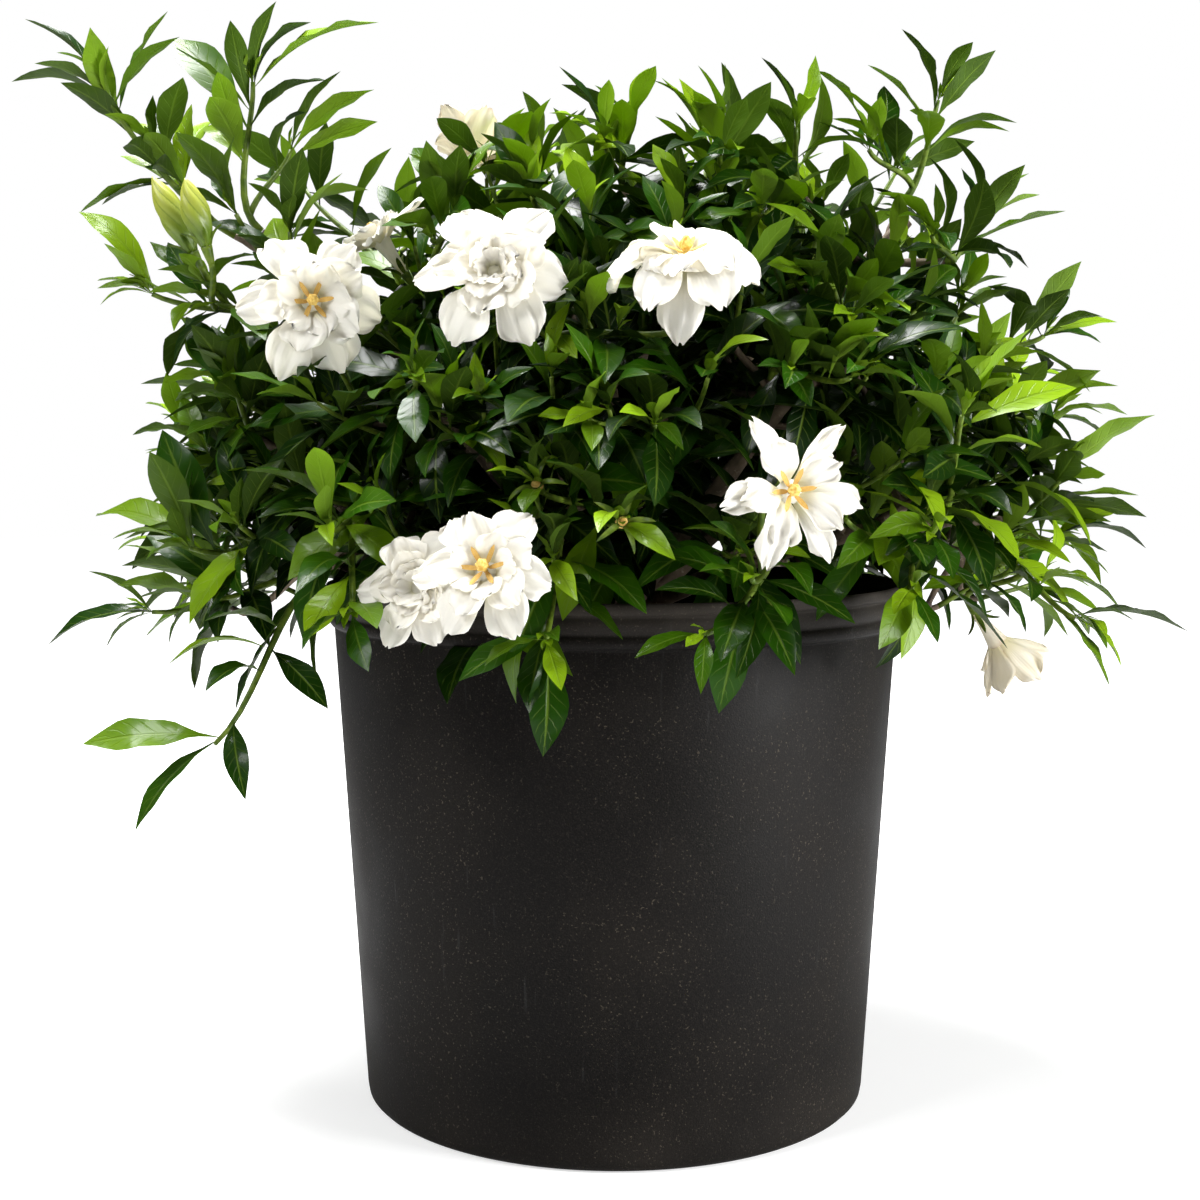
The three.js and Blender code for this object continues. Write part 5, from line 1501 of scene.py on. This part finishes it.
def make_spray(name, spray, stalk_ends):
    """One leafy spray: its stems and calyces, and all its leaves."""
    leaves = frame_leaves(spray, stalk_ends)
    body = new_body()
    for number in range(len(spray["stems"])):
        thick = SHOOT_RADII[0] * (FORK_SLIMNESS if number else 1)
        thin = STALK_RADIUS if number >= len(spray["shoots"]) else SHOOT_RADII[1]
        tube(body, from_first(spray["stems"], number), 10, 8, lambda share, turn: blend(thick, thin, share))
    for end, faces in stalk_ends:
        add_calyx(body, end, faces, SEPAL_LEAN)
    for i, shoot in enumerate(spray["shoots"]):
        draw = draws(9001 + 13 * i + 101 * spray["number"])
        leaves += whorls(shoot["curve"], SPRAY_WHORLS_FROM, SPRAY_WHORLS, draw, LEAF_LENGTH)
        if name == OLD_CALYCES:
            foot, faces = shoot["curve"](0.98), heading(shoot["curve"], 1)
            add_calyx(body, foot, faces, OLD_SEPAL_LEAN)
            tube(body, straight(foot, faces, *OLD_CORE_HEIGHTS), 3, 12,
                 lambda share, turn: CALYX_RADIUS * (1 - 0.5 * share**2), slot=1, tone=0.5)
    return joined(name, leaf_mesh(name, leaves, spray["number"]), finish_body(body, "stems", STEM, HEART))


def filler_tips():
    """Where the inner shoots end: spread evenly through the body of the bush."""
    draw = draws(FILL_SEED)
    tips = []
    for _ in range(FILL_TRIES):
        turn = 2 * pi * draw()
        rise = (1 + FILL_LOWEST) * draw() - FILL_LOWEST
        share = blend(FILL_CORE, 1, draw() ** 0.6)
        level = sqrt(1 - rise * rise)
        out = Vector((level * cos(turn), level * sin(turn), rise))
        share = min(share, FILL_FRONT) if out.y < 0 else share
        tip = FILL_MIDDLE + out * FILL_REACH * share
        near = any((tip - other).length < FILL_SPACING for other in tips)
        if not near and inside(in_view(tip), FILL_OUTLINE) and not covers_a_bloom(tip):
            tips.append(tip)
        if len(tips) == FILL_SHOOTS:
            break
    return tips


def make_filling(sprays):
    """The inner foliage: shoots on twigs of their own, in a few pieces by the side that they are on."""
    wood = [limb(step / 20) for limb in LIMB_CURVES for step in range(5, 21)]
    wood += [twig_to(spray["base"])(step / 4) for spray in sprays.values() for step in range(1, 4)]
    draw = draws(FILL_SEED + 1)
    groups = [([], new_body()) for _ in range(FILL_PIECES)]
    for tip in filler_tips():
        leaves, body = groups[int(FILL_PIECES * ((atan2(tip.y, tip.x) / (2 * pi)) % 1))]
        outward, astray = (tip - FILL_MIDDLE).normalized(), nudge(draw)
        way = (outward * FILL_OUTWARD + UP * FILL_UPWARD + astray * FILL_ASTRAY).normalized()
        length = FILL_SHORTEST + FILL_VARIES * draw()
        base = tip - way * length
        foot = min(wood, key=lambda place: way_up(place, base))
        reach = (base - foot).length
        ending = (way + UP * FILL_TIP_RISE).normalized()
        first = foot.lerp(base, STEM_EASE) + UP * reach * TWIG_BOW
        second = base - way * reach * STEM_EASE
        if reach > SHORTEST_TWIG:
            tube(body, bezier(foot, first, second, base), 6, 6,
                 lambda share, turn: blend(*FILL_TWIG_RADII, share), slot=1)
        first, second = base + way * length * STEM_EASE, tip - ending * length * STEM_EASE
        shoot = bezier(base, first, second, tip)
        tube(body, shoot, 5, 6, lambda share, turn: blend(*FILL_SHOOT_RADII, share))
        count = FILL_WHORLS + (length >= FILL_LONG)
        leaves += whorls(shoot, FILL_WHORLS_FROM, count, draw, LEAF_LENGTH * (0.9 + 0.3 * draw()))
    for number, (leaves, body) in enumerate(groups):
        name = f"inner_foliage_{number}"
        stems = finish_body(body, name, STEM, BARK)
        piece(name, joined(name, leaf_mesh(name, leaves, 50 + number), stems), "leaves")


def open_places(blooms):
    """What foliage is kept clear of: each bloom and bud, as it faces and as the view sees it."""
    places = []
    for bloom in blooms.values():
        if bloom.get("half_hidden"):
            places.append((bloom["mouth"], bloom["reach"] * CLEAR_HALF_HIDDEN, [bloom["faces"]]))
        else:
            ways = [bloom["faces"], (VIEW_PLACE - bloom["mouth"]).normalized()]
            places.append((bloom["mouth"], bloom["reach"] * CLEAR_OPEN, ways))
    for foot, point in BUDS.values():
        middle = seen(foot).lerp(seen(point), 0.5)
        places.append((middle, CLEAR_BUD, [(VIEW_PLACE - middle).normalized()]))
    return places


# What the functions above share: the finishes, the shapes to strew, and the places of the blooms
LEAF = glossy_leaf()
STEM = green_stem()
PETAL = waxy_petal()
BUD = furled_bud()
HEART = pollen_heart()
BARK = grey_bark()
MIX = composted_bark()
PLASTIC = nursery_plastic()
LEAF_TREE = leaf_setter()
LEAVES = leaf_shapes()
CHIPS = chip_shapes()
BLOOMS_PLACED = placed_blooms()
OPEN_PLACES = open_places(BLOOMS_PLACED)

piece("nursery_pot", make_pot(), "pot", "pot")
piece("bark_chips", make_mix(), "bark_mix", "bark_mix")

stalks = {}
for bloom_name, bloom in BLOOMS_PLACED.items():
    piece(f"{bloom_name}_petals", make_petals(bloom), "petals", f"bloom_{bloom_name}_petals")
    if bloom["form"] in WITH_HEART:
        piece(f"{bloom_name}_heart", make_heart(bloom), "hearts", f"bloom_{bloom_name}_heart")
    stalks.setdefault(bloom["on"], []).append(stalk_of(bloom["foot"], bloom["faces"]))
for bud_name, bud in BUDS.items():
    bud_foot, bud_point = seen(bud[0]), seen(bud[1])
    piece(f"{bud_name}_bud", make_bud(bud_foot, bud_point), "petals", f"bud_{bud_name}")
    stalks.setdefault(BUDS_ON, []).append(stalk_of(bud_foot, (bud_point - bud_foot).normalized()))

all_sprays = placed_sprays()
piece("branches", make_wood([spray["base"] for spray in all_sprays.values()]), "wood", "wood")
for spray_name, spray in all_sprays.items():
    leafy = make_spray(spray_name, spray, stalks.get(spray_name, []))
    piece(f"{spray_name}_leaves", leafy, "leaves", f"spray_{spray_name}")
make_filling(all_sprays)

for shapes in (LEAVES, CHIPS):
    for shape in list(shapes.objects):
        bpy.data.objects.remove(shape)
    bpy.data.collections.remove(shapes)


# Floor, light and camera

# How bright the room and the floor are as lights, against how they look behind the plant
ROOM_LIGHT = 0.11
FLOOR_LIGHT = 0.2
# How bright the floor's painted glow is near the pot, where it lightens the shadows, and the distances
# between which it turns white
FLOOR_GLOW = 0.54
FLOOR_CLEAR = 0.3
FLOOR_WHITE = 1.1
FLOOR_RADIUS = 6


def as_seen(tree, light):
    """1 where the camera looks at a thing, and less where the thing lights others."""
    return fade(add(tree, "ShaderNodeLightPath"), 0.0, 1.0, light, 1.0)


def make_floor():
    """A plain white floor that glows as painted light, less near the pot and more away from it, so that it
    meets the room unseen.
    """
    material, tree = new_finish(
        "White floor", Base_Color=(0.6, 0.6, 0.6), Roughness=0.9, Emission_Color=(1, 1, 1))
    distance = add(tree, "ShaderNodeVectorMath", own_places(tree), out=1, operation="LENGTH")
    white = fade(distance, FLOOR_CLEAR, FLOOR_WHITE, FLOOR_GLOW, 1.0)
    glow = times(white, as_seen(tree, FLOOR_LIGHT))
    feed(tree.nodes["Principled BSDF"].inputs["Emission Strength"], glow)
    body = bmesh.new()
    bmesh.ops.create_circle(body, cap_ends=True, segments=96, radius=FLOOR_RADIUS)
    mesh = bpy.data.meshes.new("floor")
    body.to_mesh(mesh)
    body.free()
    mesh.materials.append(material)
    floor = placed("floor", mesh)


def add_light(name, place, aim, size, power):
    """A soft square lamp that looks at a place."""
    lamp = bpy.data.lights.new(name, "AREA")
    lamp.energy = power
    lamp.size = size
    one = placed(name, lamp)
    one.location = place
    one.rotation_euler = (Vector(aim) - Vector(place)).to_track_quat("-Z", "Y").to_euler()


def light_scene():
    """White surroundings, a broad light from above and behind, and softer ones from the sides."""
    world = bpy.data.worlds.new("white room")
    bpy.context.scene.world = world
    world.use_nodes = True
    room = world.node_tree.nodes["Background"].inputs
    feed(room["Color"], (1, 1, 1))
    feed(room["Strength"], as_seen(world.node_tree, ROOM_LIGHT))
    add_light("top light", (-0.3, 0.4, 1.9), (0, 0, 0.3), 0.9, 104)
    add_light("left light", (-1.3, -1.0, 1.6), (0, 0, 0.4), 0.7, 30)
    add_light("right light", (1.8, -0.8, 0.7), (0, 0, 0.2), 0.8, 64)
    bpy.context.scene.view_settings.view_transform = "Standard"


def add_camera():
    """The camera, at the view's own place."""
    camera = bpy.data.cameras.new("view")
    camera.sensor_width = SENSOR
    camera.lens = SENSOR * VIEW_FOCAL / (2 * VIEW_MIDDLE)
    camera.clip_start = 0.01
    one = placed("view", camera)
    one.location = VIEW_PLACE
    one.rotation_euler = (pi / 2 - VIEW_TILT, 0, -VIEW_TURN)
    bpy.context.scene.camera = one


make_floor()
light_scene()
add_camera()
